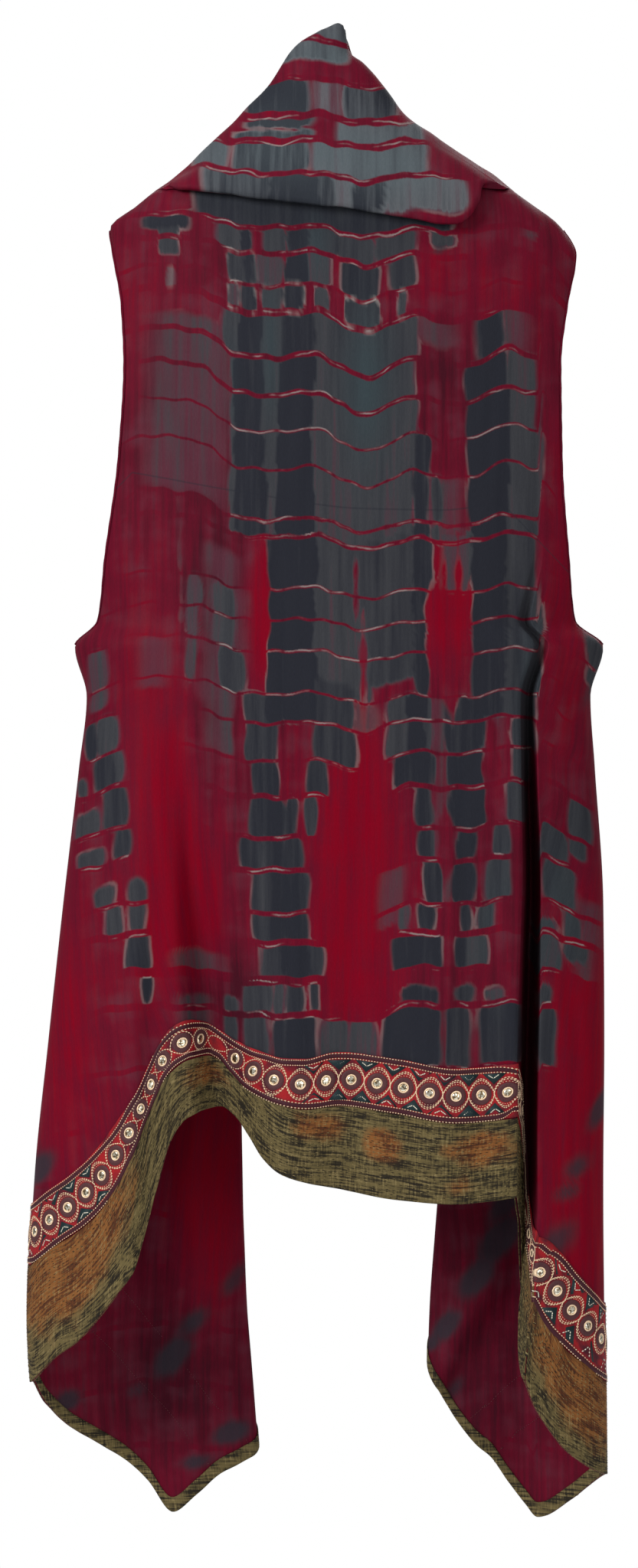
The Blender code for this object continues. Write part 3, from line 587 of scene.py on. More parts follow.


# The resist dye, and one band of painted shadow under the cowl. Slate areas of a panel: edges across the
# cloth, top and bottom heights at its middle, how dark the dye took (0.3 is plum, 0.6 slate and 1
# charcoal), how soft the side edges are, and how pale the outline is. An end that lies near a rung is
# drawn along the rung.
Area = namedtuple("Area", "left right top bottom tone soft outline", defaults=(0,))
BACK_AREAS = (
    # Under the cowl: first a charcoal band of painted shadow below the roll, then dye blocks
    Area(-130, 110, 36, -2, 0.9, 14),
    Area(-113, -77, -4, -26, 0.62, 8),
    Area(-89, -78, -4, -26, 1.0, 5),
    Area(-70, -47, -4, -26, 0.66, 7),
    Area(-47, -27, -4, -27, 1.0, 5),
    Area(-27, -2, -4, -27, 0.62, 7),
    Area(2, 33, -12, -34, 0.66, 7),
    Area(35, 76, -12, -32, 0.66, 9),
    Area(-101, -75, -28, -55, 0.62, 6, 0.4),
    Area(-86, -76, -28, -55, 1.0, 5),
    Area(-75, -48, -28, -57, 0.5, 9),
    Area(-48, -26, -28, -57, 1.0, 5),
    Area(-26, -8, -28, -57, 0.62, 7),
    Area(3, 35, -40, -68, 0.85, 8),
    Area(49, 71, -36, -62, 0.7, 9),
    # A row of small windows with pale outlines
    Area(-102, -91, -57, -80, 0.45, 4, 0.8),
    Area(-89, -75, -57, -80, 1.0, 4, 1),
    Area(-70, -51, -58, -82, 0.55, 4, 0.8),
    Area(-49, -31, -58, -82, 1.0, 4, 1),
    Area(-20, -8, -60, -84, 0.62, 4, 0.7),
    Area(8, 39, -70, -96, 0.62, 4, 1),
    Area(56, 64, -64, -88, 0.6, 4, 0.5),
    # Down the middle
    Area(-106, 70, -84, -120, 0.62, 9),
    Area(-90, -71, -84, -120, 1.0, 5),
    Area(-51, -20, -84, -120, 1.0, 5),
    Area(-97, 72, -118, -300, 0.60, 6),
    Area(-66, 34, -290, -440, 0.62, 6),
    Area(30, 74, -290, -425, 0.62, 6),
    Area(-97, -67, -121, -292, 1.0, 6),
    Area(-54, -22, -121, -300, 1.0, 5),
    Area(-68, -20, -292, -462, 1.0, 6),
    Area(72, 86, -190, -425, 1.0, 5),
    Area(84, 98, -225, -292, 0.55, 7),
    Area(-22, 18, -426, -500, 0.72, 7),
    # Shoulders, plum cloud and smudges
    Area(-176, -133, 22, -2, 0.9, 14),
    Area(-166, -146, -2, -27, 0.8, 5, 0.5),
    Area(-159, -149, -33, -54, 0.4, 4, 0.5),
    Area(-178, -94, -82, -238, 0.30, 30),
    Area(66, 118, -86, -117, 0.42, 24),
    Area(130, 184, -84, -117, 0.40, 18),
    Area(132, 152, -86, -117, 0.9, 14),
    Area(165, 192, 8, -14, 0.42, 12),
    Area(90, 108, -11, -22, 0.5, 7),
    # Hazes between the blocks
    Area(64, 122, -225, -292, 0.38, 22),
    Area(66, 118, -430, -500, 0.34, 20),
    Area(-120, -86, -300, -500, 0.34, 22),
    Area(-190, -150, -380, -430, 0.30, 20),
    Area(-16, 44, -440, -470, 0.36, 18),
    Area(88, 110, -500, -640, 0.34, 18),
    Area(128, 156, -430, -520, 0.34, 18),
    Area(40, 60, -590, -650, 0.34, 14),
    Area(-160, -100, -670, -700, 0.30, 24),
    # Right column
    Area(121, 160, -121, -462, 1.0, 7),
    Area(154, 187, -121, -450, 0.62, 9),
    Area(94, 128, -290, -330, 0.5, 8),
    # Left of the middle
    Area(-112, -90, -330, -385, 0.5, 9),
    Area(-114, -84, -385, -432, 0.62, 9),
    Area(-136, -128, -312, -420, 0.45, 7),
    Area(-148, -143, -240, -370, 0.4, 5),
    # Left branch
    Area(-84, -54, -430, -500, 0.72, 6),
    Area(-80, -54, -497, -566, 0.95, 6),
    Area(-80, -38, -530, -566, 0.95, 6),
    Area(-90, -34, -566, -600, 0.78, 7),
    Area(-79, -29, -598, -668, 0.78, 7),
    Area(-60, -29, -598, -668, 1.0, 5),
    Area(-74, -16, -664, -700, 0.74, 8),
    Area(-50, -28, -664, -700, 1.0, 5),
    Area(-61, -50, -702, -726, 0.62, 6),
    Area(-45, -33, -702, -726, 0.85, 6),
    Area(-27, -16, -702, -726, 0.70, 6),
    Area(-30, -10, -486, -520, 0.8, 6),
    Area(-28, -19, -525, -570, 0.55, 5),
    # Right branch
    Area(42, 92, -425, -486, 0.66, 7),
    Area(66, 82, -425, -500, 1.0, 5),
    Area(104, 172, -425, -455, 0.66, 7),
    Area(102, 136, -440, -498, 1.0, 6),
    Area(158, 179, -455, -512, 0.62, 8),
    Area(55, 88, -486, -520, 0.95, 7),
    Area(70, 87, -520, -562, 1.0, 6),
    Area(104, 136, -498, -560, 1.0, 6),
    Area(153, 174, -512, -560, 0.62, 8),
    Area(77, 88, -556, -582, 0.95, 6),
    Area(108, 128, -556, -588, 1.0, 6),
    Area(146, 162, -556, -590, 0.62, 7),
    Area(79, 99, -586, -622, 0.95, 6),
    Area(107, 130, -586, -622, 1.0, 6),
    Area(134, 162, -588, -626, 0.62, 8),
    Area(76, 92, -622, -650, 1.0, 6),
    Area(113, 124, -622, -650, 0.9, 6),
    Area(131, 143, -622, -650, 0.62, 6),
    Area(56, 64, -624, -652, 0.6, 5),
    Area(52, 93, -654, -690, 0.95, 8),
    Area(108, 118, -654, -690, 0.9, 6),
    Area(118, 139, -664, -692, 0.62, 7),
    Area(59, 93, -704, -730, 0.95, 7),
    Area(108, 128, -704, -730, 0.75, 7),
    Area(137, 156, -706, -735, 0.62, 7),
    # Above the trim
    Area(-150, -112, -712, -752, 0.42, 18),
    Area(-104, -90, -716, -775, 0.62, 8),
    Area(-86, -64, -706, -775, 0.8, 9),
    Area(-58, -24, -726, -780, 0.95, 9),
    Area(-16, 6, -742, -782, 0.5, 12),
    Area(10, 36, -728, -782, 0.62, 9),
    Area(42, 98, -722, -786, 0.95, 8),
    Area(98, 126, -734, -786, 0.8, 9),
    Area(132, 172, -722, -786, 0.95, 9),
    # Left side
    Area(-229, -216, -398, -450, 0.5, 9),
    Area(-223, -205, -452, -484, 0.62, 9),
    Area(-234, -226, -472, -498, 0.9, 7),
    Area(-216, -201, -488, -515, 0.62, 8),
    Area(-227, -209, -496, -528, 0.95, 8),
    Area(-241, -233, -515, -540, 0.6, 7),
    Area(-219, -196, -526, -557, 0.9, 8),
    Area(-242, -218, -545, -574, 0.66, 9),
    Area(-209, -191, -549, -591, 0.8, 9),
    Area(-238, -212, -580, -610, 0.66, 9),
    Area(-229, -203, -614, -637, 0.75, 9),
    Area(-211, -198, -635, -671, 0.55, 9),
    Area(-196, -174, -606, -662, 0.72, 9),
    Area(-191, -171, -664, -697, 0.9, 8),
    Area(-182, -171, -703, -726, 0.9, 7),
    # Right side panel, past the deep fold
    Area(190, 216, -560, -592, 0.8, 9),
    Area(188, 222, -596, -640, 0.72, 9),
    Area(216, 234, -540, -590, 0.66, 9),
    Area(206, 230, -640, -684, 0.66, 10),
    Area(184, 208, -644, -700, 0.62, 9),
    Area(182, 198, -704, -760, 0.66, 9),
    Area(222, 246, -628, -700, 0.35, 18),
    Area(236, 250, -384, -430, 0.62, 9),
)
LEFT_AREAS = (
    Area(-118, -86, -470, -760, 0.95, 8),
    Area(-150, -116, -520, -700, 0.62, 9),
    Area(-196, -150, -150, -420, 0.62, 16),
    Area(-84, -40, -120, -700, 0.62, 9),
    Area(-66, -48, -120, -640, 1.0, 6),
    Area(-40, -8, -700, -900, 0.5, 16),
    Area(-30, -8, -160, -420, 0.45, 16),
)
RIGHT_AREAS = (
    Area(90, 120, -470, -760, 0.95, 8),
    Area(118, 152, -520, -700, 0.62, 9),
    Area(150, 190, -160, -430, 0.62, 16),
    Area(40, 84, -120, -700, 0.62, 9),
    Area(50, 68, -120, -640, 1.0, 6),
    Area(8, 30, -160, -420, 0.45, 16),
)
COLLAR_AREAS = (
    Area(-50, 14, 206, 158, 0.8, 10),
    Area(-44, -20, 152, 138, 0.5, 10),
    Area(-80, -22, 134, 92, 0.95, 14),
    Area(-30, 12, 128, 100, 0.42, 14),
    Area(10, 54, 142, 100, 0.8, 14),
    Area(-136, -98, 84, 50, 0.6, 12),
    Area(-92, -24, 88, 48, 0.95, 10),
    Area(-26, 8, 84, 50, 0.45, 14),
    Area(6, 78, 92, 50, 0.62, 14),
    Area(-100, 116, 42, 4, 0.62, 12),
    Area(-60, -20, 42, 4, 0.95, 10),
    Area(10, 44, 40, 8, 0.85, 12),
    Area(-120, 0, 30, 12, 0.9, 14),
)
# Bright flames of undyed silk: middle, half width, top and bottom.
Flame = namedtuple("Flame", "middle half top bottom")
BACK_FLAMES = (
    Flame(-68, 8, -290, -438),
    Flame(-90, 7, -432, -530),
    Flame(-48, 6, -462, -545),
    Flame(86, 8, -328, -412),
    Flame(99, 5, -300, -408),
    Flame(112, 6, -284, -412),
    Flame(122, 4, -320, -396),
    Flame(17, 4, -300, -372),
    Flame(24, 5, -350, -470),
    Flame(106, 7, -405, -470),
    Flame(142, 10, -455, -560),
    Flame(100, 9, -540, -610),
)
# Brighter and darker places of the red, mostly the dye's tone with one painted sheen: middle, reach across
# and down, and how much.
Glow = namedtuple("Glow", "x z across down amount")
BACK_GLOWS = (
    Glow(16, -610, 42, 170, 0.75),
    Glow(-112, -600, 40, 150, 0.55),
    Glow(-160, -590, 34, 150, 0.6),
    Glow(-250, -740, 34, 150, 0.45),
    Glow(-69, -365, 14, 80, 0.8),
    Glow(104, -350, 30, 70, 0.6),
    Glow(-170, -400, 50, 90, 0.35),
    Glow(215, -330, 30, 160, 0.35),
    # Painted sheen: lighter red on the right side panel where it turns away from the light.
    Glow(230, -850, 40, 200, 0.9),
    Glow(-120, -380, 50, 110, -0.45),
    Glow(-150, -140, 60, 130, -0.15),
    Glow(-120, -520, 16, 90, -0.5),
    Glow(-92, -610, 14, 120, -0.5),
    Glow(100, -130, 40, 60, -0.35),
    Glow(-100, -720, 60, 40, -0.45),
    Glow(120, -60, 60, 50, 0.3),
    Glow(-190, -70, 50, 60, 0.25),
)
# Soft smudges of the dark dye, in the same columns.
BACK_SMUDGES = (
    Glow(224, -874, 16, 16, 0.5),
    Glow(248, -818, 10, 24, 0.8),
    Glow(213, -898, 16, 10, 0.5),
    Glow(203, -945, 20, 26, 0.55),
    Glow(-278, -877, 14, 18, 0.8),
    Glow(250, -410, 10, 40, 0.6),
    Glow(95, -24, 8, 6, 0.55),
)
FRONT_SMUDGES = (
    Glow(-156, -1063, 16, 22, 0.8),
    Glow(-136, -1030, 14, 16, 0.7),
    Glow(-97, -990, 12, 22, 0.5),
    Glow(-100, -1136, 18, 12, 0.8),
    Glow(-133, -1163, 18, 8, 0.6),
    Glow(-256, -1103, 14, 12, 0.7),
    Glow(-222, -1150, 26, 8, 0.5),
    Glow(-190, -1095, 14, 10, 0.4),
    Glow(170, -900, 14, 40, 0.9),
    Glow(155, -950, 16, 26, 0.9),
    Glow(133, -987, 14, 22, 0.85),
    Glow(104, -1034, 12, 16, 0.8),
    Glow(91, -1050, 8, 10, 0.7),
    Glow(112, -1093, 10, 14, 0.5),
)
FRONT_GLOWS = (
    Glow(-200, -640, 50, 200, 0.4),
    Glow(-110, -260, 50, 120, 0.4),
    Glow(-120, -890, 34, 150, 0.75),
    Glow(-60, -1040, 40, 100, -0.2),
    Glow(-150, -1080, 70, 80, -0.4),
    Glow(200, -640, 50, 200, 0.4),
    Glow(110, -260, 50, 120, 0.4),
    Glow(60, -900, 50, 160, -0.3),
    Glow(170, -1080, 70, 80, -0.3),
)
# Where the slate turns teal.
TEALS = (
    Glow(27, -150, 20, 70, 0.9),
    Glow(-62, -120, 8, 60, 0.7),
    Glow(-100, -150, 9, 40, 0.5),
    Glow(-20, -20, 12, 30, 0.6),
    Glow(-60, 70, 90, 45, 0.8),
    Glow(60, 50, 60, 40, 0.6),
    Glow(180, -440, 14, 70, 0.5),
    Glow(205, -640, 26, 60, 0.45),
    Glow(150, -660, 20, 60, 0.4),
    Glow(-10, 160, 40, 30, 0.7),
)
# Rungs of the ladder: height at the level stretch, how much of the wave they have, and half their width.
Rung = namedtuple("Rung", "number height wave half")
RUNGS = (
    Rung(-6, 216, 0.5, 2.6),
    Rung(-5, 178, 0.5, 2.6),
    Rung(-4, 140, 0.5, 2.6),
    Rung(-3, 104, 0.5, 3.4),
    Rung(-2, 78, 0.5, 3.4),
    Rung(-1, 42, 0.5, 2.4),
    Rung(0, -3, 0.6, 2.0),
    Rung(1, -27, 0.7, 2.2),
    Rung(2, -57, 0.9, 1.4),
    Rung(3, -82, 1.0, 3.0),
    Rung(4, -123, 1.25, 2.3),
    Rung(5, -158, 1.2, 1.9),
    Rung(6, -192, 1.2, 0.8),
    Rung(7, -227, 1.2, 0.9),
    Rung(8, -274, 0.8, 1.2),
    Rung(9, -290, 0.8, 1.6),
    Rung(10, -338, 0.6, 0.9),
    Rung(11, -367, 0.6, 0.9),
    Rung(12, -396, 0.6, 0.9),
    Rung(13, -435, 0.6, 0.8),
    Rung(14, -462, 0.6, 1.2),
    Rung(15, -497, 0.6, 1.2),
    Rung(16, -530, 0.5, 2.2),
    Rung(17, -568, 0.5, 1.9),
    Rung(18, -598, 0.4, 2.2),
    Rung(19, -638, 0.4, 1.8),
    Rung(20, -665, 0.3, 2.8),
    Rung(21, -700, 0.3, 3.8),
    Rung(22, -732, 0.3, 2.6),
    Rung(23, -790, 0.3, 2.0),
    Rung(24, -840, 0.3, 2.2),
    Rung(25, -885, 0.3, 2.2),
    Rung(26, -935, 0.3, 2.2),
    Rung(27, -985, 0.3, 2.2),
    Rung(28, -1040, 0.3, 2.2),
    Rung(29, -1095, 0.3, 2.2),
    Rung(30, -1155, 0.3, 2.2),
    Rung(31, -1225, 0.3, 2.2),
)
# How far a rung hangs below its level stretch, across the back, and the lower rungs' rise to the right.
Wave = namedtuple("Wave", "x drop")
BACK_WAVE = (
    Wave(-290, 34),
    Wave(-240, 8),
    Wave(-178, -26),
    Wave(-128, -21),
    Wave(-92, -1),
    Wave(-60, 2),
    Wave(-21, -1),
    Wave(4, 9),
    Wave(27, 17),
    Wave(50, 9),
    Wave(72, 2),
    Wave(100, 8),
    Wave(126, 6),
    Wave(158, -6),
    Wave(186, 0),
    Wave(190, -30),
    Wave(215, -4),
    Wave(250, 38),
)
LOWER_RISE = 11.0

# How the dye is drawn: tone and glow to start from, faint areas, the most that sides shift, how near a rung
# an end is moved onto it, soft ends, round corners, the smudges' lean, and the least pitch and row height.
BASE_TONE = 0.6
BASE_GLOW = 0.42
FAINT_TONE = 0.45
MOST_SHIFT = 4.5
NEAR_RUNG = 0.35
ROW_SOFT = 0.3
CORNER = 1.8
FAINT = 0.5
SMUDGE_LEAN = 0.55
LEAST_PITCH = 0.004
LEAST_DROP = 0.05


def rung_number(x, z):
    """The rung count at a place, 3.5 halfway between the third and the fourth, from the waved height."""
    number = read_table(RUNGS, "height", "number", z)
    share = read_table(RUNGS, "number", "wave", number)
    ripple = 1.0 * np.sin(x / 7.3 + 2.1 * number) + 0.7 * np.sin(x / 3.9 + 5.3 * number)
    rise = LOWER_RISE * ease((-z - 430) / 70) * ease((x - 20) / 50) * ease((186 - x) / 6)
    drop = share * read_table(BACK_WAVE, "x", "drop", x) - rise
    return read_table(RUNGS, "height", "number", z + drop + ripple)


def row_ends(areas):
    """The rung counts of each area's top and bottom at its middle, moved onto a rung that is near."""
    middle = np.array([(area.left + area.right) / 2 for area in areas])
    ends = []
    for field in ("top", "bottom"):
        count = rung_number(middle, np.array([float(getattr(area, field)) for area in areas]))
        ends.append(np.where(np.abs(count - np.round(count)) < NEAR_RUNG, np.round(count), count))
    return np.stack(ends, axis=1)


def bell(spot, x, z):
    """A spot's amount at each place."""
    return spot.amount * np.exp(-(((x - spot.x) / spot.across) ** 2) - ((z - spot.z) / spot.down) ** 2)


def dye_fields(areas, flames, glows, smudges, x, z, number):
    """The dye at every place, with painted shadow and painted sheen among its areas and glows: cover
    (soft-edged areas less flames), tone, outline, glow, teal and smudge.

    Each area's cover is the product of smooth steps over its four edges: the sides are measured across
    the cloth and shift a little from one rung to the next, and the ends are measured in rungs.
    """
    cell = np.floor(number)
    cover, tone, outline = np.zeros(x.shape), np.full(x.shape, BASE_TONE), np.zeros(x.shape)
    for row, (area, (first, last)) in enumerate(zip(areas, row_ends(areas))):
        shift = min(MOST_SHIFT, area.soft * 0.45) * (area.outline == 0)
        inset = CORNER * np.abs(2 * (number - cell) - 1) ** 3
        left = area.left + inset + shift * np.sin(12.9 * cell + 3.1 * row) + 0.9 * np.sin(z / 9 + row)
        right = area.right - inset + shift * np.sin(7.7 * cell + 5.3 * row) + 0.9 * np.sin(z / 7 + 2 * row)
        soft = area.soft * (1.6 if area.outline == 0 else 1)
        across = ease((x - left) / soft + 0.5) * ease((right - x) / soft + 0.5)
        down = ease((number - first) / ROW_SOFT + 0.5) * ease((last - number) / ROW_SOFT + 0.5)
        found = across * down * (FAINT if area.tone < FAINT_TONE else 1)
        edge = ease((found - 0.35) / 0.2) * (area.tone > tone)
        alone = ease((found - cover - 0.02) / 0.1)
        tone = tone + (area.tone + 0.09 * np.sin(12.9 * cell + 4.1 * row) - tone) * np.maximum(edge, alone)
        cover = np.maximum(cover, found)
        outline = np.maximum(outline, area.outline * np.exp(-(((found - 0.45) / 0.2) ** 2)))
    for flame in flames:
        along = np.clip((flame.top - z) / (flame.top - flame.bottom), 0, 1)
        half = flame.half * np.sin(np.pi * along) ** 0.7 * (0.85 + 0.2 * np.sin(z / 6 + flame.middle))
        cover = cover * (1 - ease((half - np.abs(x - flame.middle)) / 8 + 0.4) * (half > 0))
    glow = np.full(x.shape, BASE_GLOW)
    for spot in glows:
        glow = glow + bell(spot, x, z)
    smudge = np.zeros(x.shape)
    for spot in smudges:
        smudge = np.maximum(smudge, bell(spot, x - SMUDGE_LEAN * (z - spot.z), z))
    teal = np.zeros(x.shape)
    for spot in TEALS:
        teal = teal + bell(spot, x, z)
    fields = {"cover": cover, "tone": tone, "outline": outline, "glow": np.clip(glow, 0, 1)}
    fields.update({"teal": np.clip(teal, 0, 1), "smudge": smudge})
    return fields


# The creases stop short of the folded front edges and of the side seams. Step lengths for slopes follow.
CREASED_FROM = 1.6
CREASED_TO = 5.4
SEAM_CALM = 0.03
STEP_C = 0.002
STEP_Z = 1.5


def crease_all(c, points):
    """Depth of crinkle and creases at every place, still at the side seams."""
    x, y, z = points[..., 0], points[..., 1], points[..., 2]
    depth = crinkle(x + y, z)
    for panel in PANELS:
        inside = (c >= panel.first) & (c <= panel.last) & (c > CREASED_FROM) & (c < CREASED_TO)
        depth = depth + np.where(inside, crease_depth(panel.creases, x, z), 0)
    return depth * ease(np.abs(c - LEFT_SEAM) / SEAM_CALM) * ease(np.abs(c - RIGHT_SEAM) / SEAM_CALM)


def creased_grid(c, z):
    """Points and outward directions of the creased cloth on a grid of columns and rows."""
    points = surface(c, z)
    points = points - grid_normals(points) * crease_all(c, points)[..., None]
    return points, grid_normals(points)


def creased_places(c, z):
    """The same at scattered places, with slopes from short steps either way."""
    around = surface(c + STEP_C, z) - surface(c - STEP_C, z)
    up = surface(c, z + STEP_Z) - surface(c, z - STEP_Z)
    base = surface(c, z)
    normal = unit(np.cross(around, up))
    return base - normal * crease_all(c, base)[..., None], normal


# The sharp pressed crease across the back, from an old folding. Its line is painted dark as shade, since the
# shape has no fold there.
Press = namedtuple("Press", "x height")
PRESS = (Press(-190, -230), Press(-90, -249), Press(27, -265), Press(96, -266), Press(152, -259))
FAR_AWAY = 99.0


def crease_shade_field(name, x, z):
    """How far a place lies above the pressed crease, far away at its ends and on the fronts."""
    past = np.maximum(PRESS[0].x - x, 0) + np.maximum(x - PRESS[-1].x, 0) + FAR_AWAY * (name != "back")
    return z - read_table(PRESS, "x", "height", x) + past


def fold_shade_field(c, z):
    """How far inside the deep fold a place lies: 1 in its depth and 0 on its lips. It sets how much painted
    shade darkens the fold.
    """
    inside = np.clip(groove_share(c), 0, 1)
    deepest = max(row.depth for row in GROOVE)
    return read_table(GROOVE, "height", "depth", z) / deepest * (1 - np.abs(2 * inside - 1) ** 4)


def rung_fields(number, z):
    """The rung count, how many rungs there are to a millimetre, and half the rung's width there."""
    pitch = np.abs(np.gradient(number, axis=0) / np.minimum(np.gradient(z, axis=0), -LEAST_DROP))
    half = read_table(RUNGS, "number", "half", number)
    return {"rung": number, "pitch": np.maximum(pitch, LEAST_PITCH), "half": half}


def add_panel(panel, columns, areas, flames, glows, smudges):
    """One silk panel from under the collar to the hem, with its dye and its painted shade worked out point by
    point.
    """
    _, _, hem = hem_heights(columns)
    share = np.linspace(0, 1, SILK_ROWS)[:, None]
    z = COLLAR_FOOT - SEAM_GAP + (hem - COLLAR_FOOT + SEAM_GAP) * share
    c = np.broadcast_to(columns, z.shape)
    points, normals = creased_grid(c, z)
    lengths = plan_lengths(c, z)
    if panel.name == "back":
        start = np.array([np.interp(0, x, length) for x, length in zip(points[..., 0], lengths)])
        u = lengths - start[:, None]
    elif panel.name == "left_front":
        u = lengths - lengths[:, -1:]
    else:
        u = lengths
    number = rung_number(points[..., 0], z)
    fields = dye_fields(areas, flames, glows, smudges, points[..., 0], z, number)
    fields.update(rung_fields(number, z))
    fields["press"] = crease_shade_field(panel.name, points[..., 0], z)
    # Painted shade: how deep in the fold a place lies, for darkening it there.
    fields["fold"] = fold_shade_field(c, z)
    uv = np.stack([u, z], -1)
    return shell(panel.name + "_silk", points, normals, 0, SILK, uv, fields), sheet_area(points)


def collar_grid(columns):
    """The collar's grid: a tent to the nape whose back rolls over at its foot and tucks in under itself."""
    grids, places = [], []
    for stretch, c in enumerate(columns):
        share = np.linspace(0, 1, COLLAR_ROWS)[:, None]
        c = np.broadcast_to(c, (COLLAR_ROWS, len(c)))
        at_back = stretch == 1
        top = COLLAR_TOP + (COLLAR_PEAK - COLLAR_TOP) * at_back * np.sin(np.pi * (c - LEFT_SEAM)) ** 2
        foot = np.full(c.shape, COLLAR_FOOT)
        weight = np.zeros(c.shape)
        if at_back:
            x = surface(c, foot)[..., 0]
            section = section_at(COLLAR_FOOT)
            weight = ease((x - section.left) / COWL_SIDE) * ease((section.right - x) / COWL_SIDE)
            drop = ease((weight - COWL_START) / (1 - COWL_START))
            foot = COLLAR_FOOT + (read_table(COWL, "x", "height", x) - COLLAR_FOOT) * drop
        z = top + (foot - top) * share
        points, normals = surface(c, z), grid_normals(surface(c, z))
        swell = weight * COWL_OVERHANG * ease((COLLAR_FOOT + SWELL_TOP - z) / SWELL_REACH)
        points = points + normals * swell[..., None]
        under = np.linspace(ROLL_FIRST, 1.0, ROLL_ROWS)[:, None]
        last = weight[-1:]
        hung = COWL_OVERHANG * last
        lift = hung + (np.minimum(hung, COWL_LAP) - hung) * under
        under_z = foot[-1:] + last**2 * COWL_ROLL * (2 * under - 1) * under - SEAM_GAP * (1 - last) * under
        under_z = np.minimum(under_z, COLLAR_FOOT - COWL_TUCK * ease(last / TUCK_EDGE) * under)
        under_c = np.broadcast_to(c[-1:], under_z.shape)
        flat = surface(under_c, under_z)
        facing = np.broadcast_to(normals[-1:], flat.shape)
        grids.append(np.concatenate([points, flat + facing * lift[..., None]]))
        places.append(np.concatenate([z, under_z]))
    left, back, right = grids
    first, second = (left[:, -1:] + back[:, :1]) / 2, (back[:, -1:] + right[:, :1]) / 2
    grid = np.concatenate([left[:, :-1], first, back[:, 1:-1], second, right[:, 1:]], axis=1)
    z = np.concatenate([places[0], places[1][:, 1:-1], places[2]], axis=1)
    grid[..., 2] += SEAM_GAP
    return grid, z


def add_collar():
    """The collar with its ladder of dye carried up from the back. The deep fold doesn't reach it."""
    left, right = front_columns(True, 16, 12, 30), front_columns(False, 16, 12, 30)
    back = LEFT_SEAM + np.concatenate([np.linspace(0, GROOVE_START, 100), np.linspace(GROOVE_END, 1, 31)])
    grid, z = collar_grid((left, back, right))
    grid = grid - grid_normals(grid) * crinkle(grid[..., 0], z)[..., None]
    u = grid[..., 0]
    number = rung_number(u, z)
    fields = dye_fields(COLLAR_AREAS, (), BACK_GLOWS, (), u, z, number)
    fields.update(rung_fields(number, z))
    fields["press"], fields["fold"] = np.full(u.shape, FAR_AWAY), np.zeros(u.shape)
    obj = shell("collar_silk", grid, grid_normals(grid), 0, SILK, np.stack([u, z], -1), fields)
    return obj, sheet_area(grid)


def trim_edges(trim, border, hem, seam=0):
    """Upper and lower edge of the mirror trim, a seam's width above the border."""
    return trim, np.maximum(border + seam, hem)


def border_edges(trim, border, hem, seam=0):
    """Upper and lower edge of the woven border."""
    return border, hem


# How far inside the sheet's ends the trim's and the border's work stops, how high a band is at least where it
# is worked and where its cloth is cut, how many places its slopes are evened out over, and the columns of
# bands and turnings over the fronts and the back.
TRIM_INSET = 0.02
BORDER_INSET = 0.6
LEAST_STITCHED = 3
LEAST_CLOTH = 4
SLOPE_WIDTH = 11
BAND_COLUMNS = ((24, 14, 130), (200, 40, 44))
TURNING_COLUMNS = ((20, 12, 90), (140, 30, 30))


class Band:
    """A straight band sewn along the slanting hem. s runs along its middle line and t square to it."""

    def __init__(self, inset, edges_of, count=1400):
        c = np.linspace(inset, SHEET_END - inset, count)
        self.top, self.low = edges_of(*hem_heights(c))
        keep = self.top - self.low > LEAST_STITCHED
        self.c, self.top, self.low = c[keep], self.top[keep], self.low[keep]
        middle = (self.top + self.low) / 2
        plan = surface(self.c, middle)[:, :2]
        self.around = running(np.linalg.norm(np.diff(plan, axis=0), axis=1))
        self.s = running(np.hypot(np.diff(self.around), np.diff(middle)))
        self.middle = middle
        self.slope_around = np.gradient(self.around, self.s)
        self.slope_down = np.gradient(middle, self.s)
        kernel = np.ones(SLOPE_WIDTH) / SLOPE_WIDTH
        for name in ("slope_around", "slope_down"):
            padded = np.pad(getattr(self, name), SLOPE_WIDTH // 2, mode="edge")
            setattr(self, name, np.convolve(padded, kernel, mode="valid"))
        self.length = self.s[-1]
        self.half = (self.top - self.low) / 2 * self.slope_around

    def half_at(self, s):
        """Half the band's width at s."""
        return np.interp(s, self.s, self.half)

    def on_cloth(self, s, t):
        """The cloth's own c and z at s along and t across the band."""
        around = np.interp(s, self.s, self.around) - t * np.interp(s, self.s, self.slope_down)
        z = np.interp(s, self.s, self.middle) + t * np.interp(s, self.s, self.slope_around)
        return np.interp(around, self.around, self.c), z

    def covers(self, s, t):
        """Whether a place lies between the band's own edges."""
        c, z = self.on_cloth(s, t)
        return (z < np.interp(c, self.c, self.top)) & (z > np.interp(c, self.c, self.low))

    def place(self, s, t, lift):
        """Points at s along and t across the band, standing lift off the silk's middle."""
        s, t, lift = np.broadcast_arrays(s, t, lift)
        c, z = self.on_cloth(s, t)
        points, normals = creased_places(c, z)
        return points + normals * lift[..., None]


# Blocks of the border dyed orange: place across the vest, whether behind or before its middle, height
# as a share of the border from its foot, reach across and up, and how strong.
Block = namedtuple("Block", "x side share across up amount")
BORDER_BLOCKS = (
    Block(-244, -1, 0.74, 56, 0.48, 1.35),
    Block(-276, 1, 0.62, 30, 0.5, 1.0),
    Block(-122, -1, 0.7, 26, 0.34, 0.75),
    Block(-18, -1, 0.74, 28, 0.2, 0.95),
    Block(-32, -1, 0.90, 16, 0.12, 0.6),
    Block(42, -1, 0.60, 20, 0.22, 1.1),
    Block(104, -1, 0.66, 14, 0.16, 0.7),
    Block(134, -1, 0.66, 32, 0.24, 1.05),
    Block(112, -1, 0.20, 22, 0.16, 0.6),
    Block(230, -1, 0.74, 52, 0.5, 1.4),
    Block(226, 1, 0.6, 30, 0.5, 0.9),
    Block(-176, 1, 0.6, 22, 0.4, 0.8),
    Block(160, 1, 0.6, 22, 0.4, 0.8),
)


